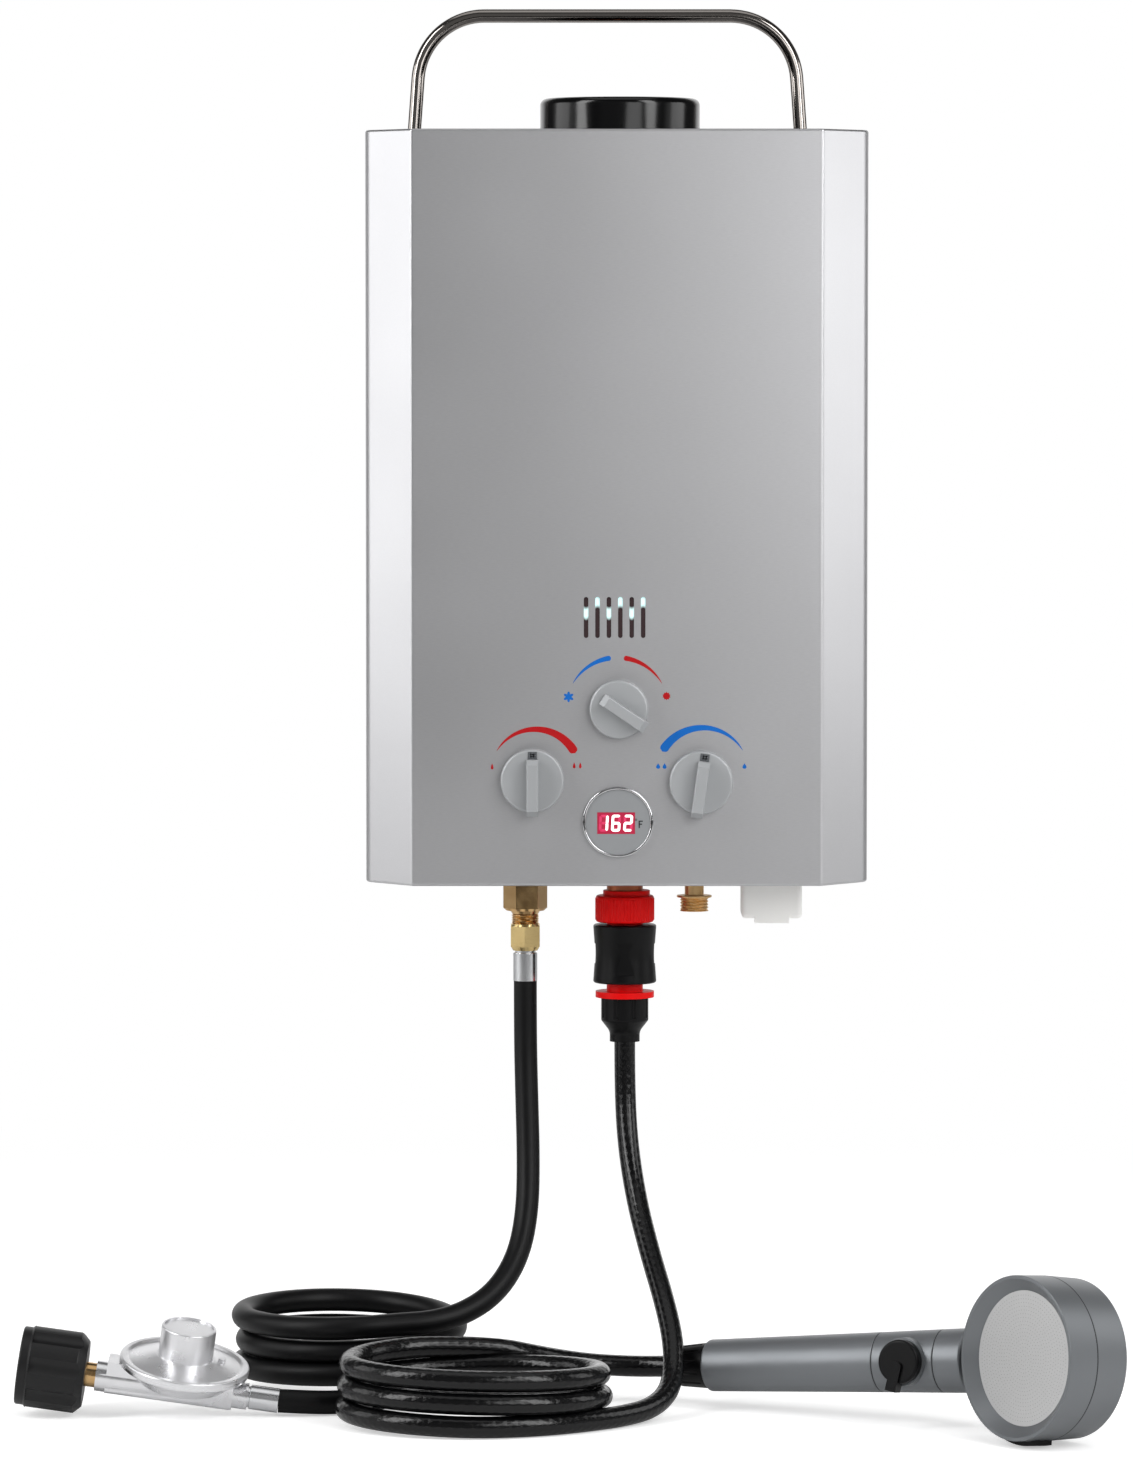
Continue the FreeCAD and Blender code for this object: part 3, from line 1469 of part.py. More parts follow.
def make_handset_neck():
    """Collar, dark ring and the bare neck that runs into the side of the head's rear shell."""
    start = neck_start()
    normal = head_normal()
    axis = handset_axis()
    to_axis = (head_front_centre - normal * neck_depth - nut_end).Length
    slant = math.sqrt(1 - normal.dot(axis) ** 2)
    reach = to_axis - (head_radius - head_wall * 1.5) / slant - start
    ring_start = neck_collar_length
    ring_end = ring_start + neck_ring_length
    seam = handset_seam
    outline = [(0, 0), (housing_end_radius - seam, 0), (housing_end_radius, seam),
               (neck_collar_end, ring_start, 3 * seam), (neck_ring_radius, ring_start),
               (neck_ring_radius, ring_end), (neck_radius, ring_end + neck_ring_length / 2),
               (neck_radius, reach), (0, reach)]
    return turned(outline, handset_point(start), axis)


def make_head_rear_shell():
    base = head_front_centre - head_normal() * head_front_depth
    depth = head_rear_depth
    outer = [(0, 0), (head_radius - handset_seam, 0), (head_radius, handset_seam),
             (head_rear_radius, depth, head_wall), (0, depth)]
    shell = turned(outer, base, head_normal() * -1)
    inner = rod(head_rear_radius - head_wall * 1.4, depth - head_wall, base, head_normal() * -1)
    return shell.cut(inner).cut(make_handset_neck())


def make_head_front_ring():
    base = head_front_centre
    mouth = head_radius - bezel_lip
    inner = face_plate_radius + face_plate_lap
    seat = face_plate_depth + face_plate_thickness
    outline = [(mouth, 0), (head_radius, 0, handset_seam), (head_radius, head_front_depth - handset_seam),
               (head_radius - handset_seam, head_front_depth), (inner, head_front_depth), (inner, seat),
               (face_plate_radius, seat), (face_plate_radius, face_plate_depth)]
    return turned(outline, base, head_normal() * -1)


def make_spray_plate():
    base = head_front_centre - head_normal() * (face_plate_depth + face_plate_gap)
    edge = face_plate_radius - face_plate_gap
    outline = [(0, 0), (edge, 0), (edge, face_plate_thickness), (0, face_plate_thickness)]
    return turned(outline, base, head_normal() * -1)


def make_spray_lever():
    """Mode lever that stands out of the seam at the bottom of the head."""
    normal = head_normal()
    down = DOWN - normal * DOWN.dot(normal)
    down.normalize()
    base = head_front_centre - normal * (head_front_depth - lever_length / 2 - lever_gap)
    half = lever_width / 2
    ring = tube(head_radius + lever_reach, head_radius + lever_gap, lever_length,
                Vector(0, 0, -lever_length / 2), UP)
    wedge = block(0, head_radius * 2, -half, half, -lever_length, lever_length)
    lever = ring.common(wedge)
    return placed(lever, base, down, normal)


# ---------------------------------------------------------------- hoses
def gas_hose_points():
    start = port(gas_port_x, ferrule_drop() + ferrule_length)
    return [start, Vector(gas_port_x, port_y, -499.0), Vector(-52.2, -55.0, -534.0),
            Vector(-51.2, -62.5, -568.0), Vector(-51.8, -74.0, -598.0), Vector(-57.0, -88.5, -622.5),
            Vector(-69.5, -104.0, -641.0), Vector(-87.5, -117.0, -651.5), Vector(-107.0, -126.5, -655.5),
            Vector(-128.0, -131.5, -657.0)]


def gas_tail_points():
    z = floor_z + gas_hose_radius + coil_floor_gap
    return [regulator_end, Vector(-177.5, -175.0, z + 0.9), Vector(-162.4, -171.5, z),
            Vector(-148.5, -164.7, z), Vector(-136.4, -155.0, z), Vector(-126.4, -143.1, z),
            Vector(-114.9, -126.7, z)]


def shower_hose_points():
    start = port(outlet_port_x, shower_nut_drop() + shower_nut_height + sleeve_taper_height + sleeve_height)
    return [start, Vector(outlet_port_x, port_y, -530.0), Vector(7.0, -59.0, -562.0),
            Vector(12.0, -77.0, -592.0), Vector(19.5, -103.0, -619.0), Vector(27.0, -129.5, -641.5),
            Vector(32.0, -150.5, -661.5), Vector(32.3, -166.0, -678.0), Vector(28.5, -183.0, -688.5),
            Vector(18.5, -200.0, -694.2), Vector(3.5, -215.5, -695.7), Vector(-13.5, -231.0, -695.7),
            Vector(-33.0, -244.8, -695.7), Vector(-53.0, -254.0, -695.7), Vector(-76.0, -258.3, -695.7)]


def shower_tail_points():
    """From the top turn of the coil to the swivel nut, which the last run meets squarely."""
    last_run = 18.8
    return [Vector(-86.0, -151.6, -664.0), Vector(-67.2, -150.0, -667.0), Vector(-49.5, -143.5, -671.5),
            Vector(-34.1, -132.7, -676.0), Vector(-16.5, -126.0, -679.5), Vector(2.2, -124.0, -681.0),
            nut_end - handset_axis() * last_run, nut_end]


def make_gas_coil():
    base = Vector(gas_coil_centre.x, gas_coil_centre.y, floor_z + coil_floor_gap)
    inner = gas_coil_radius - gas_hose_radius
    outer = gas_coil_radius + gas_hose_radius
    edge = gas_hose_radius * 0.6
    high = gas_coil_height
    outline = [(inner, edge), (inner + edge, 0), (outer - edge, 0), (outer, edge), (outer, high - edge),
               (outer - edge, high), (inner + edge, high), (inner, high - edge)]
    return turned(outline, base, UP)


def make_shower_coil():
    base = Vector(shower_coil_centre.x, shower_coil_centre.y, floor_z + coil_floor_gap)
    solids = []
    for swell in (shower_hose_radius, -shower_hose_radius):
        major = shower_coil_half_width + swell
        minor = shower_coil_half_depth + swell
        oval = Part.Ellipse(base, major, minor).toShape()
        solids.append(Part.Face(Part.Wire(oval)).extrude(Vector(0, 0, shower_coil_height)))
    return solids[0].cut(solids[1])


# ---------------------------------------------------------------- the parts, one file each
def build_parts():
    knob_radius = {"gas": large_knob_radius, "season": small_knob_radius, "water": large_knob_radius}
    pointer = {"gas": 0.0, "season": season_pointer, "water": water_pointer}
    parts = {
        "front_cover": make_front_cover(),
        "back_plate": make_back_plate(),
        "top_plate": make_top_plate(),
        "bottom_plate": make_bottom_plate(),
        "cover_screws": make_cover_screws(),
        "carry_handle": make_carry_handle(),
        "handle_brackets": make_handle_brackets(),
        "flue_collar": make_flue_collar(),
        "exhaust_hood": make_exhaust_hood(),
        "heat_exchanger_fins": make_fin_block(),
        "combustion_chamber": make_chamber(),
        "chamber_coil": make_chamber_coil(),
        "burner_bars": make_burner_bars(),
        "burner_frame": make_burner_frame(),
        "gas_manifold": make_gas_manifold(),
        "gas_valve_body": make_gas_valve_body(),
        "solenoid_valve": make_solenoid(),
        "water_valve_body": make_water_valve_body(),
        "cold_water_pipe": make_cold_pipe(),
        "hot_water_pipe": make_hot_pipe(),
        "ignition_box": make_ignition_box(),
        "ignition_electrodes": Part.makeCompound([make_electrode(-1), make_electrode(1)]),
        "flame_window": make_flame_window(),
        "display_bezel": make_display_bezel(),
        "display_face": make_display_face(),
        "display_board": make_display_board(),
        "battery_box": make_battery_box(),
        "battery_lid": make_battery_lid(),
        "battery_cells": make_batteries(),
        "gas_inlet_union": make_gas_union(),
        "gas_hose_nut": make_gas_hose_nut(),
        "hose_ferrules": Part.makeCompound([make_gas_ferrule(), make_regulator_ferrule()]),
        "gas_hose": hose("gas hose", gas_hose_points(), gas_hose_radius),
        "gas_hose_coil": make_gas_coil(),
        "gas_hose_tail": hose("gas hose tail", gas_tail_points(), gas_hose_radius),
        "regulator_body": make_regulator_body(),
        "regulator_bonnet": make_regulator_bonnet(),
        "regulator_cap": make_regulator_cap(),
        "inlet_nipple": make_nipple(),
        "cylinder_nut": make_cylinder_nut(),
        "tap_adaptor": make_tap_adaptor(),
        "connector_body": make_connector_body(),
        "connector_collar": make_connector_collar(),
        "shower_hose_nut": make_shower_hose_nut(),
        "shower_hose": hose("shower hose", shower_hose_points(), shower_hose_radius),
        "shower_hose_coil": make_shower_coil(),
        "shower_hose_tail": hose("shower hose tail", shower_tail_points(), shower_hose_radius),
        "swivel_nut": make_swivel_nut(),
        "handset_grip": make_handset_grip(),
        "switch_housing": make_switch_housing(),
        "pause_switch": make_pause_switch(),
        "handset_neck": make_handset_neck(),
        "head_rear_shell": make_head_rear_shell(),
        "head_front_ring": make_head_front_ring(),
        "spray_plate": make_spray_plate(),
        "spray_lever": make_spray_lever(),
        "cold_inlet_nipple": make_cold_nipple(),
    }
    for name in knob_places():
        knob = mounted_knob(knob_radius[name], name, pointer[name])
        parts[name + "_knob"] = Part.makeCompound([knob, make_spindle(name)])
    return parts


def main():
    os.makedirs("parts", exist_ok=True)
    for name, shape in build_parts().items():
        shape.exportStep(os.path.join("parts", name + ".step"))


main()
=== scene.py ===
import json
import math

import bmesh
import bpy
import numpy as np
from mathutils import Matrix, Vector


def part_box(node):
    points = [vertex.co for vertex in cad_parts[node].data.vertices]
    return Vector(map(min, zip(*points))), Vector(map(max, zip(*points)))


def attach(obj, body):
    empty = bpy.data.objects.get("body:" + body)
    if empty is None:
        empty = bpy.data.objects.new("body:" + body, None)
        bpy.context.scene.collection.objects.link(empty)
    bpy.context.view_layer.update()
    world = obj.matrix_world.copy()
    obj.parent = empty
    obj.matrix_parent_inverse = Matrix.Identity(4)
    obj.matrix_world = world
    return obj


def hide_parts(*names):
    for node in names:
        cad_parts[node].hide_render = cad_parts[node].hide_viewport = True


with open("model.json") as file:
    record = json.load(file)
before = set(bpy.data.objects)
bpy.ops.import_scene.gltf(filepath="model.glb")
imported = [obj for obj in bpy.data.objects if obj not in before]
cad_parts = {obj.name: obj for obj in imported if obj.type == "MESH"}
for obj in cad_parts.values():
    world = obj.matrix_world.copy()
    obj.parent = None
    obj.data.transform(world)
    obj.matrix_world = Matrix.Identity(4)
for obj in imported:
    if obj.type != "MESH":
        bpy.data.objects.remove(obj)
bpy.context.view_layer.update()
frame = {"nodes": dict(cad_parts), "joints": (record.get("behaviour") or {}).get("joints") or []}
nodes = frame["nodes"]
joints = {joint["name"]: joint for joint in frame["joints"]}

MM = 0.001  # sizes and places are in millimetres here, and in metres in Blender
FLOOR = -702.0  # height of the ground that the hoses lie on
PORT_Y = -50.0  # the ports under the casing stand in one row
RIGHT = np.array([1.0, 0.0, 0.0])
FRONT = np.array([0.0, -1.0, 0.0])
UP = np.array([0.0, 0.0, 1.0])
DOWN = np.array([0.0, 0.0, -1.0])


# ------ places taken from the frame
def low(name):
    return np.array(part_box(name)[0]) / MM


def high(name):
    return np.array(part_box(name)[1]) / MM


def middle(name):
    return (low(name) + high(name)) / 2


def joint_place(name):
    return np.array(joints[name]["pos_m"]) / MM


def joint_axis(name):
    axis = np.array(joints[name]["axis"], float)
    return axis / np.linalg.norm(axis)


# ------ mesh tools
def put(name, data):
    """Object that shows a mesh, a lamp or a camera in the scene."""
    made = bpy.data.objects.new(name, data)
    bpy.context.scene.collection.objects.link(made)
    return made


def sidewise(direction):
    """Two unit vectors square to a direction and to each other."""
    nearly_upright = 0.9
    helper = UP if abs(direction[2]) < nearly_upright else RIGHT
    first = np.cross(helper, direction)
    first /= np.linalg.norm(first)
    return first, np.cross(direction, first)


def piece(name, points, faces, body, finish, smooth_angle=35.0):
    """A closed mesh from points in millimetres, its faces turned outwards, riding on a body."""
    mesh = bpy.data.meshes.new(name)
    mesh.from_pydata((np.asarray(points, float) * MM).tolist(), [], faces)
    work = bmesh.new()
    work.from_mesh(mesh)
    bmesh.ops.remove_doubles(work, verts=work.verts, dist=1e-7)
    bmesh.ops.recalc_face_normals(work, faces=work.faces)
    limit = math.radians(smooth_angle)
    for face in work.faces:
        face.smooth = True
    for edge in work.edges:
        edge.smooth = edge.is_manifold and edge.calc_face_angle(0.0) < limit
    work.to_mesh(mesh)
    work.free()
    mesh.materials.append(finish)
    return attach(put(name, mesh), body)


def grid_quads(rows, columns, closed_rows):
    """Quads between neighbouring rows and columns. Columns close into rings, and rows may close too."""
    i, j = np.meshgrid(np.arange(rows if closed_rows else rows - 1), np.arange(columns), indexing="ij")
    corners = [i * columns + j, i * columns + (j + 1) % columns,
               (i + 1) % rows * columns + (j + 1) % columns, (i + 1) % rows * columns + j]
    return np.stack(corners, -1).reshape(-1, 4).tolist()


def skin(name, grids, body, finish, closed_rows=False, smooth_angle=35.0):
    """Closed skins over one or more grids of rings, made one piece.

    Unless the rows close too, a fan caps the first and the last ring.
    """
    all_points = []
    faces = []
    start = 0
    for grid in grids if isinstance(grids, list) else [grids]:
        rows, columns = grid.shape[:2]
        points = grid.reshape(-1, 3)
        made = grid_quads(rows, columns, closed_rows)
        if not closed_rows:
            count = len(points)
            points = np.vstack([points, grid[0].mean(0), grid[-1].mean(0)])
            last = (rows - 1) * columns
            made += [[count, (j + 1) % columns, j] for j in range(columns)]
            made += [[count + 1, last + j, last + (j + 1) % columns] for j in range(columns)]
        faces += [[start + corner for corner in face] for face in made]
        all_points.append(points)
        start += len(points)
    return piece(name, np.vstack(all_points), faces, body, finish, smooth_angle)


def rounded(outline, closed):
    """Outline of (radius, height, fillet) with round corners.

    Each corner becomes the curve (1-t)^2 a + 2t(1-t) corner + t^2 b, from a point a fillet before it to one
    a fillet after it. A fillet takes less than half of a side, so that two on one side never meet.
    """
    steps = 4
    largest_share = 0.48
    points = [np.array(point[:2], float) for point in outline]
    count = len(points)
    made = []
    for index, point in enumerate(outline):
        fillet = point[2] if len(point) > 2 else 0.0
        inner = closed or 0 < index < count - 1
        if not inner or fillet == 0:
            made.append(points[index])
            continue
        before = points[index - 1] - points[index]
        after = points[(index + 1) % count] - points[index]
        reach_a = min(fillet, largest_share * np.linalg.norm(before))
        reach_b = min(fillet, largest_share * np.linalg.norm(after))
        a = points[index] + before / np.linalg.norm(before) * reach_a
        b = points[index] + after / np.linalg.norm(after) * reach_b
        for t in np.linspace(0, 1, steps + 1):
            made.append((1 - t) ** 2 * a + 2 * t * (1 - t) * points[index] + t * t * b)
    return np.array(made)


def lathe(name, outline, base, direction, body, finish, around, shape=None, closed=False,
          smooth_angle=35.0):
    """Outline turned about an axis: base + direction h + r (first cos a + second sin a).

    shape(angle, radius, height) may give each point another radius, for hexagons, ribs and threads.
    """
    profile = rounded(outline, closed)
    angle = np.linspace(0, 2 * math.pi, around, endpoint=False)
    radius = np.repeat(profile[:, :1], around, 1)
    height = np.repeat(profile[:, 1:], around, 1)
    if shape is not None:
        radius = shape(angle[None, :], radius, height)
    first, second = sidewise(direction)
    grid = (base + height[..., None] * direction
            + (radius * np.cos(angle))[..., None] * first + (radius * np.sin(angle))[..., None] * second)
    return skin(name, grid, body, finish, closed_rows=closed, smooth_angle=smooth_angle)


def even_wall(radius, start, end):
    """Points 0.2 mm apart up a straight wall, close enough for threads and ribs to be cut in it."""
    step = 0.2
    return [(radius, height) for height in np.arange(start, end + step / 2, step)]


def sweep_frames(path):
    """Two side vectors for each point of a path, carried along it with as little turning as can be."""
    tangent = np.gradient(path, axis=0)
    tangent /= np.linalg.norm(tangent, axis=1)[:, None]
    first = np.empty_like(path)
    first[0] = sidewise(tangent[0])[0]
    for index in range(1, len(path)):
        side = first[index - 1] - tangent[index] * (first[index - 1] @ tangent[index])
        first[index] = side / np.linalg.norm(side)
    return first, np.cross(tangent, first)


def tube_grid(path, radius, around):
    """Rings of a round tube along a path: point + r (first cos a + second sin a)."""
    first, second = sweep_frames(path)
    angle = np.linspace(0, 2 * math.pi, around, endpoint=False)[None, :, None]
    spoke = np.cos(angle) * first[:, None, :] + np.sin(angle) * second[:, None, :]
    return path[:, None, :] + radius * spoke


def plate_grid(outline, base, across, upward, thickness, taper=1.0):
    """Flat plate over a star-shaped outline in its own plane, a thickness proud of base.

    Its far side is the outline shrunk about its middle by the taper.
    """
    outline = np.asarray(outline, float)
    middle_point = outline.mean(0)
    far = middle_point + (outline - middle_point) * taper
    normal = np.cross(across, upward)
    low_ring = base + outline[:, :1] * across + outline[:, 1:] * upward
    high_ring = base + far[:, :1] * across + far[:, 1:] * upward + normal * thickness
    return np.stack([low_ring, high_ring])


# ------ colour and finish tools
def linear(code):
    """Linear colour from an sRGB hex code."""
    value = np.array([int(code[i:i + 2], 16) for i in (1, 3, 5)]) / 255
    value = np.where(value <= 0.04045, value / 12.92, ((value + 0.055) / 1.055) ** 2.4)
    return (*value.tolist(), 1.0)


def node(tree, kind, inputs=None, **settings):
    """Adds a shader node. Inputs gives each socket a value, an output, or a node for its first output."""
    made = tree.nodes.new("ShaderNode" + kind)
    for key, value in settings.items():
        setattr(made, key, value)
    for key, value in (inputs or {}).items():
        if isinstance(value, bpy.types.Node):
            value = value.outputs[0]
        if isinstance(value, bpy.types.NodeSocket):
            tree.links.new(value, made.inputs[key])
        else:
            made.inputs[key].default_value = value
    return made


def material(name, colour, metallic, roughness, **sockets):
    """A material with one Principled shader; other sockets are given by name with _ for a space."""
    made = bpy.data.materials.new(name)
    made.use_nodes = True
    shader = made.node_tree.nodes["Principled BSDF"]
    shader.inputs["Base Color"].default_value = linear(colour)
    shader.inputs["Metallic"].default_value = metallic
    shader.inputs["Roughness"].default_value = roughness
    for key, value in sockets.items():
        shader.inputs[key.replace("_", " ")].default_value = value
    return made, made.node_tree, shader


def pattern(tree, per_metre, detail=2.0, stretch=(1, 1, 1)):
    """Random pattern on object coordinates, with so many features to the metre, drawn out along an axis."""
    place = node(tree, "TexCoord")
    mapping = node(tree, "Mapping", {"Vector": place.outputs["Object"], "Scale": stretch})
    return node(tree, "TexNoise", {"Vector": mapping, "Scale": per_metre, "Detail": detail}).outputs["Fac"]


def uneven_gloss(tree, shader, factor, smoothest, roughest):
    """Roughness that goes between two values with a pattern."""
    spread = node(tree, "MapRange", {"Value": factor, "To Min": smoothest, "To Max": roughest})
    tree.links.new(spread.outputs[0], shader.inputs["Roughness"])


def relief(tree, shader, factor, depth, strength):
    """Fine relief that follows a pattern, its depth in metres."""
    raised = node(tree, "Bump", {"Height": factor, "Distance": depth, "Strength": strength})
    tree.links.new(raised.outputs[0], shader.inputs["Normal"])


def tinted(tree, shader, factor, dark, light, contrast=1.0):
    """Base colour that goes from dark to light with a pattern, about their mean where contrast is less."""
    half = contrast / 2
    spread = node(tree, "MapRange", {"Value": factor, "To Min": 0.5 - half, "To Max": 0.5 + half})
    mix = node(tree, "Mix", {"Factor": spread}, data_type="RGBA")
    mix.inputs["A"].default_value = linear(dark)
    mix.inputs["B"].default_value = linear(light)
    tree.links.new(mix.outputs["Result"], shader.inputs["Base Color"])


# ------ metals
def satin_stainless():
    """Stainless sheet, rolled satin: a soft grey sheen that follows the lamps.

    The grain runs along X, 0.1 mm across, and is drawn 0.4 mm across so that it shows.
    """
    made, tree, shader = material("satin_stainless_sheet", "#bdbdbf", 1.0, 0.4)
    grain = pattern(tree, 2400, 3, (0.12, 1, 1))
    tinted(tree, shader, grain, "#aeaeb0", "#c6c6c8", 0.5)
    uneven_gloss(tree, shader, pattern(tree, 9, 2), 0.36, 0.44)
    relief(tree, shader, grain, 0.00002, 0.5)
    return made


def plain_steel(name, colour, roughness):
    """Bare steel pressing: dull, with the clouds of rolled sheet, 17 mm across, and a 1 mm mill grain."""
    made, tree, shader = material(name, colour, 1.0, roughness)
    uneven_gloss(tree, shader, pattern(tree, 60, 4), roughness - 0.08, roughness + 0.1)
    relief(tree, shader, pattern(tree, 900, 2), 0.00002, 0.4)
    return made


def polished_steel(name, colour, roughness):
    """Polished or plated steel: clear reflections, a little blurred along the strokes of the wheel."""
    made, tree, shader = material(name, colour, 1.0, roughness)
    uneven_gloss(tree, shader, pattern(tree, 60, 2, (1, 1, 0.2)), roughness * 0.85, roughness * 1.25)
    return made


def brass(name, colour, dark, roughness):
    """Machined brass: yellow, duller in 8 mm patches where fingers have been, with 0.4 mm tool lines."""
    made, tree, shader = material(name, colour, 1.0, roughness)
    patches = pattern(tree, 120, 3)
    tinted(tree, shader, patches, dark, colour)
    uneven_gloss(tree, shader, patches, roughness - 0.06, roughness + 0.1)
    relief(tree, shader, pattern(tree, 2500, 1, (0.05, 0.05, 1)), 0.00002, 0.4)
    return made


def copper():
    """Drawn copper: red brown, with the darker bloom that heat leaves in 25 mm clouds."""
    made, tree, shader = material("drawn_copper", "#b8694a", 1.0, 0.35)
    tinted(tree, shader, pattern(tree, 40, 4), "#8a4a34", "#c47a58")
    return made


def die_cast(name, colour, metallic, roughness):
    """Die-cast zinc, tumbled bright: white metal with the soft 2 mm orange peel of a casting."""
    made, tree, shader = material(name, colour, metallic, roughness)
    uneven_gloss(tree, shader, pattern(tree, 90, 3), roughness - 0.09, roughness + 0.09)
    relief(tree, shader, pattern(tree, 420, 3), 0.00012, 0.5)
    return made


def gloss_enamel():
    """Stove enamel over steel: deep black and glossy, with a faint ripple 5 mm long."""
    made, tree, shader = material("black_stove_enamel", "#020203", 0.0, 0.16, Specular_IOR_Level=0.35)
    relief(tree, shader, pattern(tree, 180, 2), 0.00005, 0.25)
    return made


def spray_steel():
    """Thin stainless face, brushed soft, its 0.1 mm grain drawn 0.6 mm across."""
    made, tree, shader = material("brushed_stainless_face", "#c9c9c9", 1.0, 0.42)
    grain = pattern(tree, 1600, 3, (1, 1, 0.15))
    tinted(tree, shader, grain, "#bcbcbc", "#d2d2d2", 0.6)
    relief(tree, shader, grain, 0.00002, 0.5)
    return made


# ------ plastics, rubber, ink and glass
def moulded(name, colour, roughness, per_metre=1500, depth=0.00002, **sockets):
    """Moulded plastic or rubber: an even colour with the fine grain of its tool, 0.7 mm unless given."""
    made, tree, shader = material(name, colour, 0.0, roughness, **sockets)
    grain = pattern(tree, per_metre, 2)
    uneven_gloss(tree, shader, grain, roughness - 0.05, roughness + 0.07)
    relief(tree, shader, grain, depth, 0.5)
    return made


def sprayed_plastic(name, colour, roughness, flake):
    """ABS under metallic lacquer: half metal to the eye, its 0.05 mm flakes drawn 0.3 mm across."""
    made, tree, shader = material(name, colour, flake, roughness)
    relief(tree, shader, pattern(tree, 3300, 1), 0.00001, 0.4)
    uneven_gloss(tree, shader, pattern(tree, 30, 2), roughness - 0.03, roughness + 0.05)
    return made


def hose_rubber(name, colour, roughness, rib_pitch, depth, coat):
    """Extruded hose: black, with crossed strands that repeat each rib pitch, in metres.

    Its own UV runs round (u) and along (v, in metres), and the relief is the larger of two waves
    sin(2 pi v / pitch -+ 8 u turns).
    """
    strands = 8
    made, tree, shader = material(name, colour, 0.0, roughness, Coat_Weight=coat, Coat_Roughness=0.12,
                                  Specular_IOR_Level=0.18)
    place = node(tree, "TexCoord")
    split = node(tree, "SeparateXYZ", {"Vector": place.outputs["UV"]})
    along = node(tree, "Math", {0: split.outputs["Y"], 1: 2 * math.pi / rib_pitch}, operation="MULTIPLY")
    waves = []
    for lean in (-1.0, 1.0):
        around = node(tree, "Math", {0: split.outputs["X"], 1: lean * strands * 2 * math.pi},
                      operation="MULTIPLY")
        phase = node(tree, "Math", {0: along, 1: around}, operation="ADD")
        waves.append(node(tree, "Math", {0: phase}, operation="SINE"))
    braid = node(tree, "Math", {0: waves[0], 1: waves[1]}, operation="MAXIMUM")
    relief(tree, shader, braid, depth, 0.6)
    uneven_gloss(tree, shader, pattern(tree, 60, 3), roughness - 0.05, roughness + 0.08)
    return made


def printed_ink(name, colour):
    """Screen-printed enamel ink: a flat strong colour, a satin film with a slightly uneven lay."""
    made, tree, shader = material(name, colour, 0.0, 0.55, Specular_IOR_Level=0.2)
    relief(tree, shader, pattern(tree, 1800, 1), 0.00001, 0.3)
    return made


def lit(name, colour, strength):
    """A part of the display that shines by itself behind its red window."""
    made, tree, shader = material(name, colour, 0.0, 0.4)
    shader.inputs["Emission Color"].default_value = linear(colour)
    shader.inputs["Emission Strength"].default_value = strength
    return made


def sight_glass(middle_x, middle_z, pitch, swing):
    """Dark sight glass, with a painted reflection that glows in each slot, high and low by turns.

    A wave z = middle_z + swing cos(pi x / pitch) runs across the slots; the painted reflection fades 1.8 to 4
    mm from it.
    """
    made, tree, shader = material("dark_sight_glass_painted_glints", "#3a2a2a", 0.0, 0.15)
    place = node(tree, "TexCoord")
    split = node(tree, "SeparateXYZ", {"Vector": place.outputs["Object"]})
    shifted = node(tree, "Math", {0: split.outputs["X"], 1: middle_x}, operation="SUBTRACT")
    angle = node(tree, "Math", {0: shifted, 1: math.pi / pitch}, operation="MULTIPLY")
    wave = node(tree, "Math", {0: angle}, operation="COSINE")
    height = node(tree, "Math", {0: wave, 1: swing, 2: middle_z}, operation="MULTIPLY_ADD")
    away = node(tree, "Math", {0: split.outputs["Z"], 1: height}, operation="SUBTRACT")
    reach = node(tree, "Math", {0: away}, operation="ABSOLUTE")
    glint = node(tree, "MapRange", {"Value": reach, "From Min": 0.0018, "From Max": 0.004, "To Min": 1.0,
                                    "To Max": 0.0})
    # Painted reflection: the glint turns the base colour pale cyan and makes it glow.
    tinted(tree, shader, glint, "#3b2c2e", "#dff6f4")
    shader.inputs["Emission Color"].default_value = linear("#bfeef0")
    glow = node(tree, "Math", {0: glint, 1: 0.5}, operation="MULTIPLY")
    tree.links.new(glow.outputs[0], shader.inputs["Emission Strength"])
    return made


# Casing and the pressings behind it.
steel = satin_stainless()
bare_steel = plain_steel("mill_finish_steel", "#a6a6a8", 0.42)
burner_steel = plain_steel("heat_tinted_steel", "#8d8a86", 0.5)
cell_wrap = plain_steel("battery_sleeve", "#5d6065", 0.35)

# Bright fittings, which mirror the lamps and the dark room between them.
rod_steel = polished_steel("polished_stainless_rod", "#8f8a86", 0.1)
screw_steel = polished_steel("bright_zinc_screw", "#bdbdbf", 0.22)
bezel_chrome = polished_steel("chromed_bezel", "#c4c4c6", 0.08)
ferrule_chrome = polished_steel("nickel_plated_ferrule", "#dedfe1", 0.2)
zinc = die_cast("tumbled_die_cast_zinc", "#e2e2e4", 1.0, 0.25)
bonnet_zinc = die_cast("lacquered_die_cast_zinc", "#dedee0", 0.76, 0.3)

# Brass, from freshly turned to tarnished, and the copper of the water way.
union_brass = brass("machined_brass", "#d6b684", "#b48a58", 0.17)
nut_brass = brass("bright_brass", "#e2ca90", "#caae76", 0.22)
old_brass = brass("tarnished_brass", "#f2d09a", "#cca26c", 0.38)
tube_copper = copper()

# Knobs and handset, which look like dull silver and gunmetal.
knob_abs = sprayed_plastic("silver_lacquered_abs", "#a1a3a5", 0.42, 0.35)
grey_lacquer = sprayed_plastic("gunmetal_lacquered_abs", "#707376", 0.4, 0.55)
# Dark grey of the knob inserts, also used as painted shade for the hole in the ferrule.
insert_grey_and_hole_shade = moulded("dark_grey_insert_and_hole_shade", "#55585b", 0.55)
# Black for the rings that paint the shade in the handset's seams and in its neck recess.
painted_seam_shade = moulded("black_painted_seam_shade", "#1a1a1b", 0.6)
face_steel = spray_steel()
pin_hole_shadow = moulded("pin_hole_shadow", "#8b8b8b", 0.6)

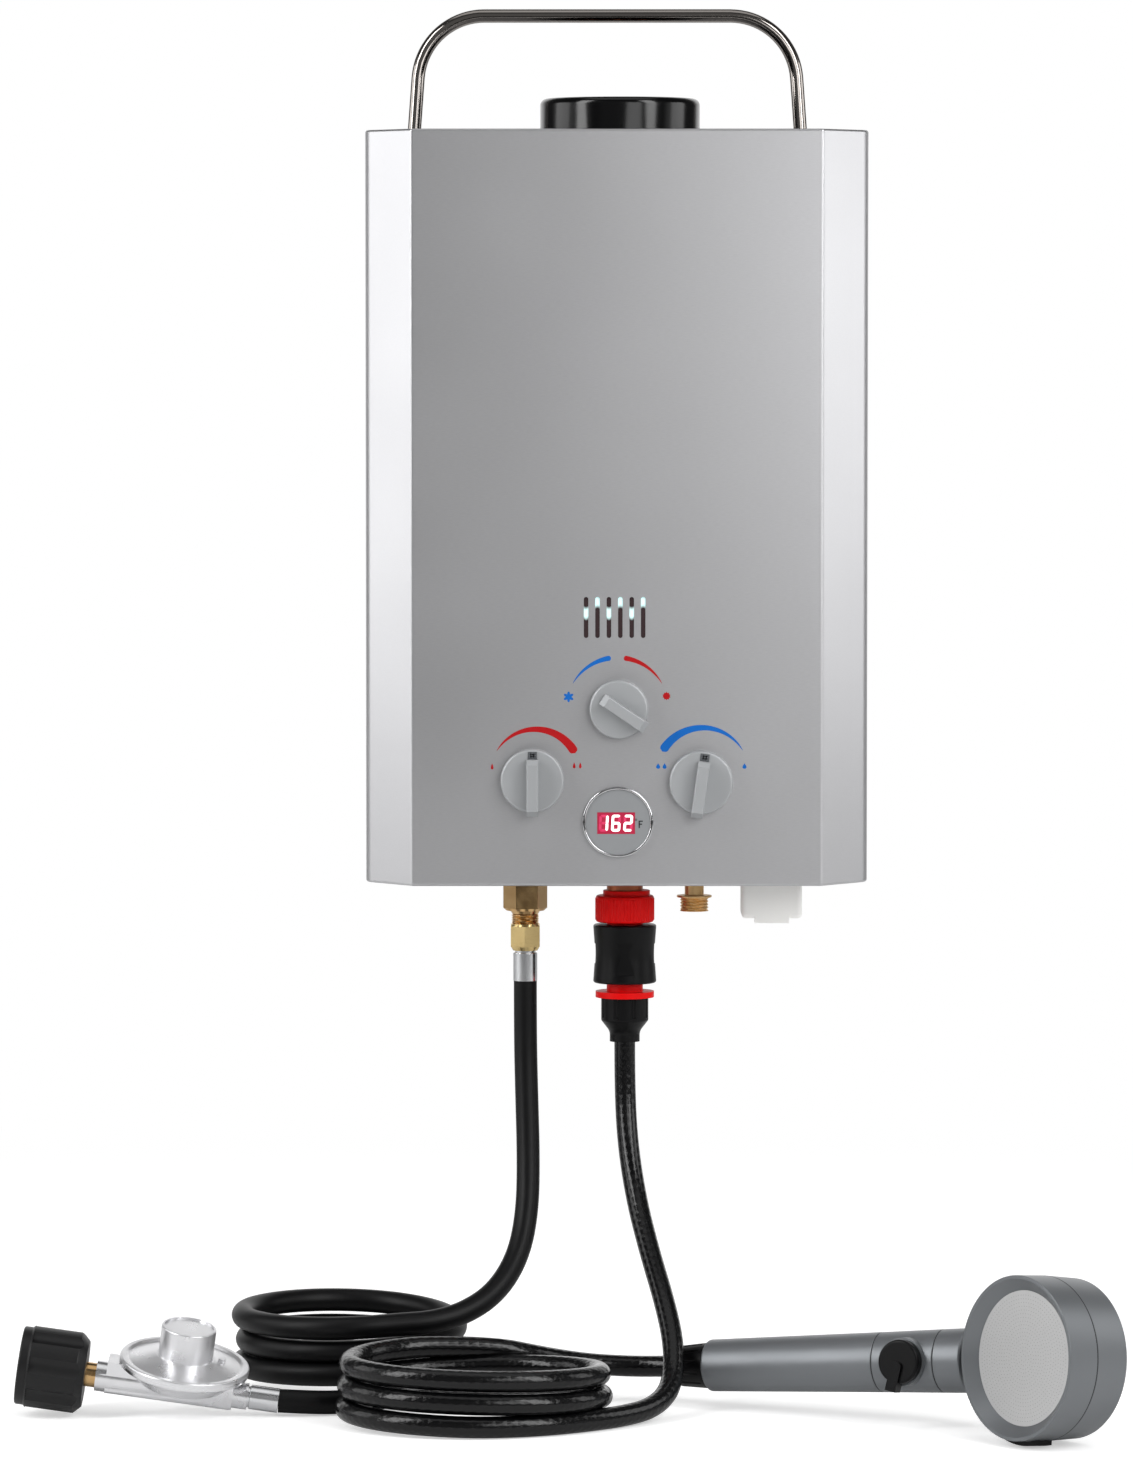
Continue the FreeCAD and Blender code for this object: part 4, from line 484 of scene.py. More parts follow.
# Connectors, hand nut, battery box and insulators.
enamel = gloss_enamel()
red_abs = moulded("red_abs", "#e00304", 0.4, 900, 0.00003, Specular_IOR_Level=0.14)
black_abs = moulded("black_satin_abs", "#070708", 0.34, Specular_IOR_Level=0.16)
black_nylon = moulded("black_glass_filled_nylon", "#0c0c0d", 0.42, 700, 0.00006, Specular_IOR_Level=0.34)
white_abs = moulded("natural_white_polypropylene", "#fbfaf7", 0.38)
glazed = moulded("glazed_ceramic", "#e8e4da", 0.2)

# Hoses: the gas hose nearly smooth and matt, the shower hose with a braid under a clear skin.
gas_rubber = hose_rubber("extruded_black_gas_hose", "#060607", 0.42, 0.02, 0.00001, 0.0)
shower_vinyl = hose_rubber("braided_black_shower_hose", "#050506", 0.22, 0.006, 0.00012, 0.3)

# Front print and display.
red_ink = printed_ink("red_screen_ink", "#a8060e")
blue_ink = printed_ink("blue_screen_ink", "#0560b4")
grey_ink = printed_ink("dark_grey_screen_ink", "#3c3e40")
face_film = moulded("silver_display_film", "#858789", 0.45)
window_red = lit("smoked_red_display_window", "#a00a34", 0.3)
segment_light = lit("lit_segment", "#fff3f2", 1.0)
segment_off = lit("unlit_segment", "#c8305c", 0.3)
# Place and spacing of the painted, glowing reflection in the sight glass behind the slots.
slot_pitch = 6.55
glint_rise = 5.8
glint_swing = 3.6
slots_middle = middle("flame_window")
slot_glass = sight_glass((slots_middle[0] + slot_pitch / 2) * MM, (slots_middle[2] + glint_rise) * MM,
                         slot_pitch * MM, glint_swing * MM)


# ------ CAD pieces that keep their shape
def dress(shown, finish, sharp_past=32.0):
    """Gives a piece its finish and smooths its curved faces, with edges sharp past an angle."""
    shown.data.materials.clear()
    shown.data.materials.append(finish)
    shown.data.polygons.foreach_set("use_smooth", [True] * len(shown.data.polygons))
    shown.modifiers.new("weld", "WELD").merge_threshold = 1e-6
    shown.modifiers.new("edges", "EDGE_SPLIT").split_angle = math.radians(sharp_past)
    shown.modifiers.new("normals", "WEIGHTED_NORMAL").weight = 90


looks = (
    (steel, "front_cover back_plate"),
    (bare_steel, "top_plate bottom_plate handle_brackets exhaust_hood solenoid_valve"),
    (screw_steel, "cover_screws"),
    (rod_steel, "carry_handle"),
    (enamel, "flue_collar"),
    (tube_copper, "heat_exchanger_fins combustion_chamber chamber_coil cold_water_pipe hot_water_pipe"),
    (burner_steel, "burner_bars burner_frame"),
    (zinc, "gas_manifold gas_valve_body regulator_body"),
    (black_abs, "water_valve_body ignition_box connector_collar shower_hose_nut swivel_nut pause_switch "
                "spray_lever"),
    (glazed, "ignition_electrodes"),
    (slot_glass, "flame_window"),
    (bezel_chrome, "display_bezel"),
    (face_film, "display_face"),
    (window_red, "display_board"),
    (white_abs, "battery_box battery_lid"),
    (cell_wrap, "battery_cells"),
    (union_brass, "gas_inlet_union inlet_nipple"),
    (nut_brass, "gas_hose_nut"),
    (ferrule_chrome, "hose_ferrules"),
    (bonnet_zinc, "regulator_bonnet regulator_cap"),
    (black_nylon, "cylinder_nut"),
    (red_abs, "tap_adaptor connector_body"),
    (grey_lacquer, "handset_grip switch_housing handset_neck head_rear_shell head_front_ring"),
    (face_steel, "spray_plate"),
    (old_brass, "cold_inlet_nipple"),
    (knob_abs, "gas_knob season_knob water_knob"),
)
for finish, names in looks:
    for name in names.split():
        dress(nodes[name], finish)


# ------ rolled casing
cover_low, cover_high = low("front_cover"), high("front_cover")
sheet = 0.8
cad_bend = 2.6  # outer radius of every upright bend in the CAD
outer_bend = 12.0  # radius that the bend between a bevel and its side gets here
rim_fold = 1.5
bevel_width = 27.0
bevel_depth = 30.0
bevel_turn = math.atan2(bevel_width, bevel_depth)


def widen_bend(points, side):
    """Gives both skins round one outer upright bend a wider radius, in place.

    The bend turns by the angle t, so its arcs share a centre r / cos(t / 2) inside the corner. A point on
    them keeps its direction from the old centre and moves out by the change in radius from the new one.
    """
    half_turn = bevel_turn / 2
    corner = np.array([side * cover_high[0], cover_low[1] + bevel_depth])
    inward = np.array([-side * math.cos(half_turn), math.sin(half_turn)])
    old_centre = corner + inward * cad_bend / math.cos(half_turn)
    new_centre = corner + inward * outer_bend / math.cos(half_turn)
    spoke = points[:, :2] - old_centre
    reach = np.linalg.norm(spoke, axis=1)
    spoke /= np.maximum(reach, 1e-9)[:, None]
    slack = 0.05
    on_arc = ((reach > cad_bend - sheet - slack) & (reach < cad_bend + slack)
              & (spoke @ -inward > math.cos(half_turn) - 0.001))
    points[on_arc, :2] = new_centre + spoke[on_arc] * (reach[on_arc, None] + outer_bend - cad_bend)


def is_outer_rim(edge):
    """Tells whether an edge lies between the cover's outer skin and the rim at its top or its foot."""
    ends = [vertex.co.z / MM for vertex in edge.verts]
    touch = 0.01
    off_rim = min(abs(ends[0] - rim) for rim in (cover_low[2], cover_high[2]))
    if len(edge.link_faces) != 2 or off_rim > touch:
        return False
    skin_face, rim_face = sorted(edge.link_faces, key=lambda face: abs(face.normal.z))
    centre = (edge.verts[0].co + edge.verts[1].co) / 2
    from_middle = centre.y - cover_low[1] * MM / 2
    outward = skin_face.normal.x * centre.x + skin_face.normal.y * from_middle
    return (abs(ends[0] - ends[1]) < touch and abs(rim_face.normal.z) > 0.9 and abs(skin_face.normal.z) < 0.1
            and outward > 0.03 and skin_face.normal.y < 0.5)


def rolled_cover():
    """Copy of the folded cover with wide outer bends, and with round folds along its top and its foot."""
    mesh = nodes["front_cover"].data.copy()
    work = bmesh.new()
    work.from_mesh(mesh)
    bmesh.ops.remove_doubles(work, verts=work.verts, dist=1e-6)
    bmesh.ops.dissolve_limit(work, angle_limit=math.radians(1), verts=work.verts, edges=work.edges)
    work.to_mesh(mesh)
    work.free()
    points = np.empty(len(mesh.vertices) * 3)
    mesh.vertices.foreach_get("co", points)
    points = points.reshape(-1, 3) / MM
    for side in (-1.0, 1.0):
        widen_bend(points, side)
    mesh.vertices.foreach_set("co", (points * MM).ravel())
    work = bmesh.new()
    work.from_mesh(mesh)
    work.normal_update()
    folds = [edge for edge in work.edges if is_outer_rim(edge)]
    bmesh.ops.bevel(work, geom=folds, offset=rim_fold * MM, segments=6, profile=0.5, affect="EDGES")
    work.to_mesh(mesh)
    work.free()
    made = put("rolled_cover", mesh)
    dress(made, steel, 20.0)
    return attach(made, "heater")


cover_skin = rolled_cover()
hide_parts("front_cover")


# ------ gas union and its nut
def hexagon(flats, root, face):
    """Flats on a turned bar where it is wider than root: r = flats / 2 / cos(angle off the nearest face)."""
    def shape(angle, radius, height):
        off = (angle - math.radians(face) + math.pi / 6) % (math.pi / 3) - math.pi / 6
        return np.where(radius > root, np.minimum(radius, flats / 2 / np.cos(off)), radius)
    return shape


def fitting(name, replaced, outline, flats, root, face, finish):
    """Hexagon fitting turned finer in the place of a CAD piece, its outline measured up from its foot.

    The face is the angle in degrees from the front to the nearest flat.
    """
    foot = middle(replaced)
    foot[2] = low(replaced)[2]
    made = lathe(name, outline, foot, UP, "heater", finish, 72, hexagon(flats, root, face), closed=True,
                 smooth_angle=1.0)
    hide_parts(replaced)
    return made


def span(name):
    return high(name)[2] - low(name)[2]


union_span = span("gas_inlet_union")
fitting("union_turned", "gas_inlet_union",
        [(4.0, 0.0), (7.4, 0.0), (7.4, 5.4), (8.8, 7.9), (11.2, 7.9), (12.9, 9.3), (12.9, 27.6),
         (12.2, 28.2), (7.5, 28.2), (7.5, union_span), (4.0, union_span)],
        flats=22.4, root=10.0, face=5.0, finish=union_brass)
nut_span = span("gas_hose_nut")
hose_nut = fitting("hose_nut_turned", "gas_hose_nut",
                   [(6.4, 0.0), (7.3, 0.0), (9.7, 2.4), (9.7, nut_span - 1.3), (8.4, nut_span),
                    (6.4, nut_span)], flats=16.9, root=8.0, face=30.0, finish=nut_brass)


# ------ hoses
def spline_points(route):
    """Centreline of a hose: points read from a smooth spline whose control points are its route."""
    curve = bpy.data.curves.new("route", "CURVE")
    curve.dimensions = "3D"
    spline = curve.splines.new("NURBS")
    spline.points.add(len(route) - 1)
    for point, place in zip(spline.points, route):
        point.co = (*(np.asarray(place, float) * MM), 1.0)
    spline.order_u = 3
    spline.use_endpoint_u = True
    spline.resolution_u = 6
    line = bpy.data.objects.new("route", curve)
    mesh = bpy.data.meshes.new_from_object(line)
    points = np.array([vertex.co for vertex in mesh.vertices])
    bpy.data.meshes.remove(mesh)
    bpy.data.objects.remove(line)
    return points / MM


def hose(name, route, radius, finish):
    """Round hose along its route, with a UV of turns round it and metres along it."""
    around = 28
    path = spline_points(route)
    made = skin(name, tube_grid(path, radius, around), "heater", finish, smooth_angle=60.0)
    metres = np.concatenate([[0], np.cumsum(np.linalg.norm(np.diff(path, axis=0), axis=1))]) * MM
    mesh = made.data
    uv = mesh.uv_layers.new(name="UVMap")
    index = np.empty(len(mesh.loops), np.int32)
    mesh.loops.foreach_get("vertex_index", index)
    column = index % around
    row = np.minimum(index // around, len(path) - 1)
    starts = np.array([face.loop_start for face in mesh.polygons])
    corners = np.array([face.loop_total for face in mesh.polygons])
    last_column = np.repeat(np.maximum.reduceat(column, starts), corners)
    past_the_seam = (column == 0) & (last_column == around - 1)
    u = (column + np.where(past_the_seam, around, 0)) / around
    uv.data.foreach_set("uv", np.stack([u, metres[row]], 1).astype(np.float32).ravel())
    return made, path * MM


def ring_points(centre, angle, wide, deep, height):
    """Points of a lying coil: centre + (wide cos a, deep sin a) at a height above the ground."""
    return np.stack([centre[0] + wide * np.cos(angle), centre[1] + deep * np.sin(angle), FLOOR + height], 1)


gas_radius = 6.75
gas_start = np.array([-53.1, PORT_Y, -464.9])
gas_centre = np.array([-154.8, -72.0])
gas_drop = [(-53.1, -50, -499), (-52.2, -55, -534), (-51.2, -62.5, -568), (-51.8, -74, -598),
            (-57, -88.5, -622.5), (-69.5, -104, -641), (-87.5, -117, -651.5), (-107, -126.5, -655.5)]
gas_tail = [(-114.9, -126.7, -695), (-126.4, -143.1, -695), (-136.4, -155, -695), (-148.5, -164.7, -695),
            (-162.4, -171.5, -695), (-177.5, -175, -694.2), (-193, -175, -693.4)]


def gas_coil_turns():
    """Almost three round turns from the top down, clockwise seen from above, as the angle a falls.

    The radius is 63.2 + 1.6 sin(0.37 a + 1). The height is 7 at -35 degrees and 14.2 more for each turn left
    until there, plus a tilt of 3 sin a that fades out over the last 1.8 turns.
    """
    degrees = np.arange(1016, -22, -22.5)
    left = degrees + 35
    angle = np.radians(degrees)
    radius = 63.2 + 1.6 * np.sin(angle * 0.37 + 1)
    tilt = 3 * np.sin(angle) * np.minimum(1.6 * left / 1053, 1.0)
    return ring_points(gas_centre, angle, radius, radius, 7 + 14.2 * left / 360 + tilt)


shower_radius = 6.1
shower_start = np.array([5.1, PORT_Y, -500.5])
shower_centre = np.array([-81.0, -206.0])
shower_drop = [(5.1, -50, -530), (7, -59, -562), (12, -77, -592), (19.5, -103, -619), (27, -129.5, -641.5),
               (32, -150.5, -661.5), (32.3, -166, -678), (28.5, -183, -688.5), (18.5, -200, -694.2),
               (3.5, -215.5, -695.7), (-13.5, -231, -695.7), (-33, -244.8, -695.7), (-53, -254, -695.7)]
shower_tail = [(-67.2, -150, -667), (-49.5, -143.5, -671.5), (-34.1, -132.7, -676), (-16.5, -126, -679.5),
               (2.2, -124, -681)]


def shower_coil_turns():
    """Two and a half oval turns from the ground up, clockwise from the front, each lying on the one below.

    At share s of 905 degrees the half widths are 74.5 - 3 s and 54.5 - 3 s, and the height is 6.4 + 32 s.
    """
    turned = np.arange(5, 903, 22.5)
    share = turned / 905
    return ring_points(shower_centre, np.radians(275 - turned), 74.5 - 3 * share, 54.5 - 3 * share,
                       6.4 + 32 * share)


swivel_place = joint_place("handset_swivel")
grip_axis = joint_axis("handset_swivel")
straight_end = 18.8  # straight run of the hose before the swivel
gas_route = [gas_start, *gas_drop, *gas_coil_turns(), *gas_tail]
shower_route = [shower_start, *shower_drop, *shower_coil_turns(), *shower_tail,
                swivel_place - grip_axis * straight_end, swivel_place]
gas_hose, gas_path = hose("gas_hose_tube", gas_route, gas_radius, gas_rubber)
shower_hose, shower_path = hose("shower_hose_tube", shower_route, shower_radius, shower_vinyl)
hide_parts("gas_hose", "gas_hose_coil", "gas_hose_tail")
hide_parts("shower_hose", "shower_hose_coil", "shower_hose_tail")


# ------ print on the front
panel_y = cover_low[1]
ink_film = 0.05  # how far a print stands proud
ink_sink = 0.02  # how far it reaches under the surface, so that no gap shows


def arc_print(name, centre, radius, start, end, width, ink):
    """Tapered arc from a fine tip to a round end; angles run clockwise from straight up.

    Half width at share t from the tip is width/2 t^0.75, closed by sqrt(1 - u^2) over the last stretch.
    """
    tip = 0.05
    share = np.linspace(0.0, 1.0, 64)
    angle = np.radians(start + (end - start) * share)
    cap = width / 2 / (radius * abs(np.radians(end - start)))
    over = np.clip((share - (1 - cap)) / cap, 0, 1)
    half = (tip + width / 2 * share ** 0.75) * np.sqrt(np.clip(1 - over ** 2, 0.0004, 1))
    ring = []
    for side, depth in ((-1, ink_sink), (1, ink_sink), (1, -ink_film), (-1, -ink_film)):
        reach = radius + side * half
        ring.append(np.stack([centre[0] + reach * np.sin(angle), np.full_like(angle, panel_y + depth),
                              centre[1] + reach * np.cos(angle)], 1))
    return skin(name, np.stack(ring, 1), "heater", ink)


def spot_grid(x, z, radius_of, steps):
    """Flat spot whose radius is a function of the angle from straight up."""
    angle = np.linspace(0, 2 * math.pi, steps, endpoint=False)
    radius = radius_of(angle)
    outline = np.stack([radius * np.sin(angle), radius * np.cos(angle)], 1)
    return plate_grid(outline, (x, panel_y + ink_sink, z), RIGHT, UP, ink_film + ink_sink)


def drop_grid(x, z, width, height):
    """Drop with its point up: x = 0.62 w sin a sin(a/2)^1.5 and z = h/2 cos a."""
    angle = np.linspace(0, 2 * math.pi, 40, endpoint=False)
    outline = np.stack([width * 0.62 * np.sin(angle) * np.abs(np.sin(angle / 2)) ** 1.5,
                        height / 2 * np.cos(angle)], 1)
    return plate_grid(outline, (x, panel_y + ink_sink, z), RIGHT, UP, ink_film + ink_sink)


gas_x, _, gas_z = joint_place("gas_knob_turn")
season_x, _, season_z = joint_place("season_knob_turn")
water_x, _, water_z = joint_place("water_knob_turn")

season_arc = (season_x - 0.8, season_z + 0.1)
arc_print("season_cold_arc", season_arc, 29.4, -60.5, -7.0, 3.0, blue_ink)
arc_print("season_warm_arc", season_arc, 29.4, 60.5, 7.0, 3.0, red_ink)
arc_print("gas_arc", (gas_x + 1.7, gas_z + 3.4), 25.9, -59.0, 62.0, 5.2, red_ink)
arc_print("water_arc", (water_x + 1.1, water_z + 4.6), 26.6, 59.5, -61.0, 5.2, blue_ink)
snow = spot_grid(season_x - 28.8, season_z + 6.9, lambda a: 1.7 + 1.4 * np.abs(np.cos(3 * a)) ** 1.6, 144)
skin("snow_icon", snow, "heater", blue_ink)
sun = spot_grid(season_x + 27.4, season_z + 7.4, lambda a: 1.9 + 0.5 * np.abs(np.cos(5 * a)) ** 4, 120)
skin("sun_icon", sun, "heater", red_ink)
skin("flame_icons", [drop_grid(gas_x + side, gas_z + rise, 1.7, 3.6)
                     for side, rise in ((-23.1, 8.0), (24.0, 8.6), (27.5, 8.6))], "heater", red_ink)
skin("drop_icons", [drop_grid(water_x + side, water_z + 9.2, 2.6, 3.2) for side in (-24.6, -20.9, 25.0)],
     "heater", blue_ink)


# ------ temperature display
face_front = low("display_face")[1]
digits_front = low("display_board")[1]
window_middle = middle("display_face") + np.array([-1.0, 0.0, -0.6])
digit_width = 3.8
digit_height = 8.2
digit_pitch = 7.0
digit_lean = math.tan(math.radians(3))
digit_film = 0.1
lit_lift = 0.12
unlit_lift = 0.04
stroke = 1.45
BAR_ENDS = {"a": ((-1, 1), (1, 1)), "b": ((1, 1), (1, 0)), "c": ((1, 0), (1, -1)), "d": ((-1, -1), (1, -1)),
            "e": ((-1, 0), (-1, -1)), "f": ((-1, 1), (-1, 0)), "g": ((-1, 0), (1, 0))}
BARS_OF = {"1": "bc", "2": "abged", "6": "afgedc", "8": "abcdefg"}


def digit_bars(digit_x, digit, lift):
    """Six-sided bars of a seven-segment digit, which leans a little to the right."""
    half_size = np.array([digit_width, digit_height]) / 2
    grids = []
    for name in BARS_OF[digit]:
        first, last = (np.array(end) * half_size for end in BAR_ENDS[name])
        along = (last - first) / np.linalg.norm(last - first)
        aside = np.array([-along[1], along[0]]) * stroke / 2
        tip = along * stroke * 0.2
        first = first - tip
        last = last + tip
        outline = [first, first + 2 * tip + aside, last - 2 * tip + aside, last, last - 2 * tip - aside,
                   first + 2 * tip - aside]
        outline = [(x + z * digit_lean, z) for x, z in outline]
        base = (digit_x, digits_front - lift + digit_film, window_middle[2])
        grids.append(plate_grid(outline, base, RIGHT, UP, digit_film))
    return grids


lit_grids = []
unlit_grids = []
for place, digit in enumerate("162"):
    digit_x = window_middle[0] + (place - 1) * digit_pitch - 0.1
    lit_grids += digit_bars(digit_x, digit, lit_lift)
    unlit_grids += digit_bars(digit_x, "8", unlit_lift)
skin("lit_segments", lit_grids, "heater", segment_light)
skin("unlit_segments", unlit_grids, "heater", segment_off)

unit_x, unit_z = window_middle[0] + 14.0, window_middle[2] - 0.7
unit_height = 4.4
unit_stroke = 0.8


def unit_bar(x_low, x_high, z_low, z_high):
    """Straight stroke of the unit's letter, printed on the display's face."""
    outline = [(x_low, z_low), (x_high, z_low), (x_high, z_high), (x_low, z_high)]
    return plate_grid(outline, (unit_x, face_front + ink_sink, unit_z), RIGHT, UP, ink_film + ink_sink)


skin("unit_letter", [unit_bar(-1.1, -1.1 + unit_stroke, -unit_height / 2, unit_height / 2),
                     unit_bar(-1.1, 1.3, unit_height / 2 - unit_stroke, unit_height / 2),
                     unit_bar(-1.1, 0.9, -0.3, unit_stroke - 0.3)], "heater", grey_ink)
lathe("degree_sign", [(0.3, -ink_sink), (0.65, -ink_sink), (0.65, ink_film), (0.3, ink_film)],
      (unit_x - 2.6, face_front, unit_z + unit_height / 2 + 0.5), FRONT, "heater", grey_ink, 24, closed=True)


# ------ knob inserts
knob_radius = 18.2
knob_face = panel_y - 8.3  # front of the knobs' discs


def knob_insert(name, knob, body, pointer):
    """Dark insert between the end of the rib and the rim, with three by three low pads.

    The pointer is the rib's angle in degrees, clockwise from straight up.
    """
    lean = math.radians(pointer)
    along = np.array([math.sin(lean), 0.0, math.cos(lean)])
    aside = np.cross(along, FRONT)
    place = joint_place(knob)
    base = np.array([place[0], knob_face, place[2]])
    plate_height = 0.3
    pad_pitch = 1.65
    inner, outer, half = knob_radius * 0.69, knob_radius - 1.4, 2.6
    outline = [(-half, inner), (half, inner), (half, outer), (-half, outer)]
    grids = [plate_grid(outline, base, aside, along, plate_height)]
    for row in range(3):
        for column in range(3):
            x = (column - 1) * pad_pitch
            z = inner + (row + 0.5) * (outer - inner) / 3
            pad = [(x - 0.6, z - 0.5), (x + 0.6, z - 0.5), (x + 0.6, z + 0.5), (x - 0.6, z + 0.5)]
            grids.append(plate_grid(pad, base + FRONT * plate_height, aside, along, 0.35, 0.7))
    skin(name, grids, body, insert_grey_and_hole_shade)


knob_insert("gas_knob_insert", "gas_knob_turn", "gas_control", 0.0)
knob_insert("water_knob_insert", "water_knob_turn", "water_control", 8.0)


# ------ threads and ribs below the casing
def between(height, start, end, run_out):
    """Share from 0 to 1 that fades in past one height and out before another."""
    return np.clip((height - start) / run_out, 0, 1) * np.clip((end - height) / run_out, 0, 1)


def thread(pitch, root, start, end):
    """Helical V thread down to its root: a triangle wave of h / pitch - a / 2 pi between two heights."""
    def shape(angle, radius, height):
        phase = (height / pitch - angle / (2 * math.pi)) % 1.0
        dip = (radius - root) * (1 - np.abs(2 * phase - 1))
        return np.where(radius > root, radius - dip * between(height, start, end, 0.4), radius)
    return shape


def ribs(count, depth, root, start, end):
    """Ribs along the axis: the radius dips by depth (1/2 - 1/2 cos(n a)) between two heights."""
    def shape(angle, radius, height):
        dip = depth * (0.5 - 0.5 * np.cos(count * angle))
        return np.where(radius > root, radius - dip * between(height, start, end, 0.6), radius)
    return shape


thread_height = 5.2
lathe("union_thread", [(6.8, 0.0)] + even_wall(8.1, 0.0, thread_height) + [(6.8, thread_height)],
      (gas_start[0], PORT_Y, high("gas_hose_nut")[2]), UP, "heater", union_brass, 96,
      thread(1.3, 7.5, 0.0, thread_height))

cold_foot = middle("cold_inlet_nipple")
cold_foot[1] = PORT_Y
cold_foot[2] = low("cold_inlet_nipple")[2]
cold_span = span("cold_inlet_nipple")
cold_bore = 4.5
cold_outline = ([(cold_bore, 0.0, 0.3)] + even_wall(8.33, 0.2, 8.2)
                + [(10.2, 8.2, 0.3), (10.2, 9.4, 0.3), (5.6, 9.4, 0.8), (5.6, cold_span),
                   (cold_bore, cold_span)])
cold_piece = lathe("cold_nipple_turned", cold_outline, cold_foot, UP, "heater", old_brass, 96,
                   thread(1.8, 7.5, 0.4, 8.1), closed=True)
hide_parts("cold_inlet_nipple")

adaptor_top = middle("tap_adaptor")
adaptor_top[1] = PORT_Y
adaptor_top[2] = high("tap_adaptor")[2]
adaptor_radius = (high("tap_adaptor")[0] - low("tap_adaptor")[0]) / 2
rib_crest = adaptor_radius + 0.32
rib_count = 60
lathe("adaptor_grip", [(adaptor_radius - 0.6, 1.4), (rib_crest, 1.6, 0.3), (rib_crest, 14.4, 0.3),
                       (adaptor_radius - 0.6, 14.6)],
      adaptor_top, DOWN, "heater", red_abs, 8 * rib_count, ribs(rib_count, 0.28, adaptor_radius, 1.0, 15.0))
lip_height = min(3.0, cover_low[2] - adaptor_top[2] - 0.3)
lathe("adaptor_lip", [(9.0, -0.1), (13.7, -0.1), (13.7, lip_height, 0.4), (9.0, lip_height)],
      adaptor_top + RIGHT, UP, "heater", red_abs, 96, closed=True)

ferrule_turn = math.radians(54)
ferrule_side = np.array([-math.sin(ferrule_turn), -math.cos(ferrule_turn), 0.0])
ferrule_radius = 6.8
# Painted shade: a small dark ring stands for the shadow inside a hole in the ferrule.
lathe("ferrule_hole", [(0.45, -0.3), (0.75, -0.3), (0.85, 0.06), (0.45, 0.02)],
      np.array([gas_start[0], PORT_Y, -450.5]) + ferrule_side * ferrule_radius, ferrule_side, "heater",
      insert_grey_and_hole_shade, 24, closed=True)


# ------ handset
head_front = np.array([219.0, -290.0, FLOOR + 50.0])  # middle of the front ring
head_normal = np.array([-0.79022, -0.60617, 0.09003])  # the way that the spray plate faces


def seam_shade(name, base, along, start, radius, width):
    """Black ring of painted shade, standing for the shadow in a seam or recess between two pieces of the
    handset.
    """
    depth = 0.8
    lathe(name, [(radius - depth, 0.0), (radius, 0.0), (radius, width), (radius - depth, width)],
          base + along * start, along, "handset", painted_seam_shade, 96, closed=True)


# Painted shade: black rings stand for the shadows in the handset's seams and in the recess at its neck.
seam_shade("housing_seam_shade", swivel_place, grip_axis, 128.3, 16.85, 0.4)
seam_shade("collar_seam_shade", swivel_place, grip_axis, 166.8, 17.75, 0.4)
seam_shade("neck_recess_shade", swivel_place, grip_axis, 184.5, 13.8, 4.2)
seam_shade("head_seam_shade", head_front, head_normal, -20.4, 45.68, 0.8)


def spray_holes():
    """Rims of pin holes in rings: ring k holds round(2 pi r / spacing) of them, at r = k spacing."""
    first, second = sidewise(head_normal)
    spacing = 2.05
    rings = 17
    ring_twist = 0.7
    face_lift = 0.82
    foot_radius, top_radius = 0.3, 0.22
    foot, top = head_normal * -0.1, head_normal * 0.02
    around = np.linspace(0, 2 * math.pi, 8, endpoint=False)
    rim = np.cos(around)[:, None] * first + np.sin(around)[:, None] * second
    face_middle = middle("spray_plate") + head_normal * face_lift
    grids = []
    for ring in range(1, rings + 1):
        radius = ring * spacing
        count = round(2 * math.pi * radius / spacing)
        angles = np.linspace(0, 2 * math.pi, count, endpoint=False) + ring * ring_twist
        sideways = np.cos(angles)[:, None] * first + np.sin(angles)[:, None] * second
        for centre in face_middle + radius * sideways:
            grids.append(np.stack([centre + foot + rim * foot_radius, centre + top + rim * top_radius]))
    return grids


skin("spray_holes", spray_holes(), "handset", pin_hole_shadow)


# ------ studio
def add_camera():
    """Long lens four metres in front, tilted down a little."""
    data = bpy.data.cameras.new("camera")
    data.lens = 171.18
    data.sensor_width = 36.0
    data.clip_end = 100.0
    camera = put("camera", data)
    camera.location = (-0.029, -4.12, -0.08451)
    camera.rotation_euler = (math.radians(90 - 3.318), 0, 0)
    bpy.context.scene.camera = camera


def add_lamp(name, place, aim, width, height, power):
    """Soft rectangular lamp, in metres and watts, that points from its place to its aim."""
    data = bpy.data.lights.new(name, "AREA")
    data.shape = "RECTANGLE"
    data.size = width
    data.size_y = height
    data.energy = power
    made = put(name, data)
    made.location = place
    made.rotation_euler = (Vector(aim) - Vector(place)).to_track_quat("-Z", "Y").to_euler()


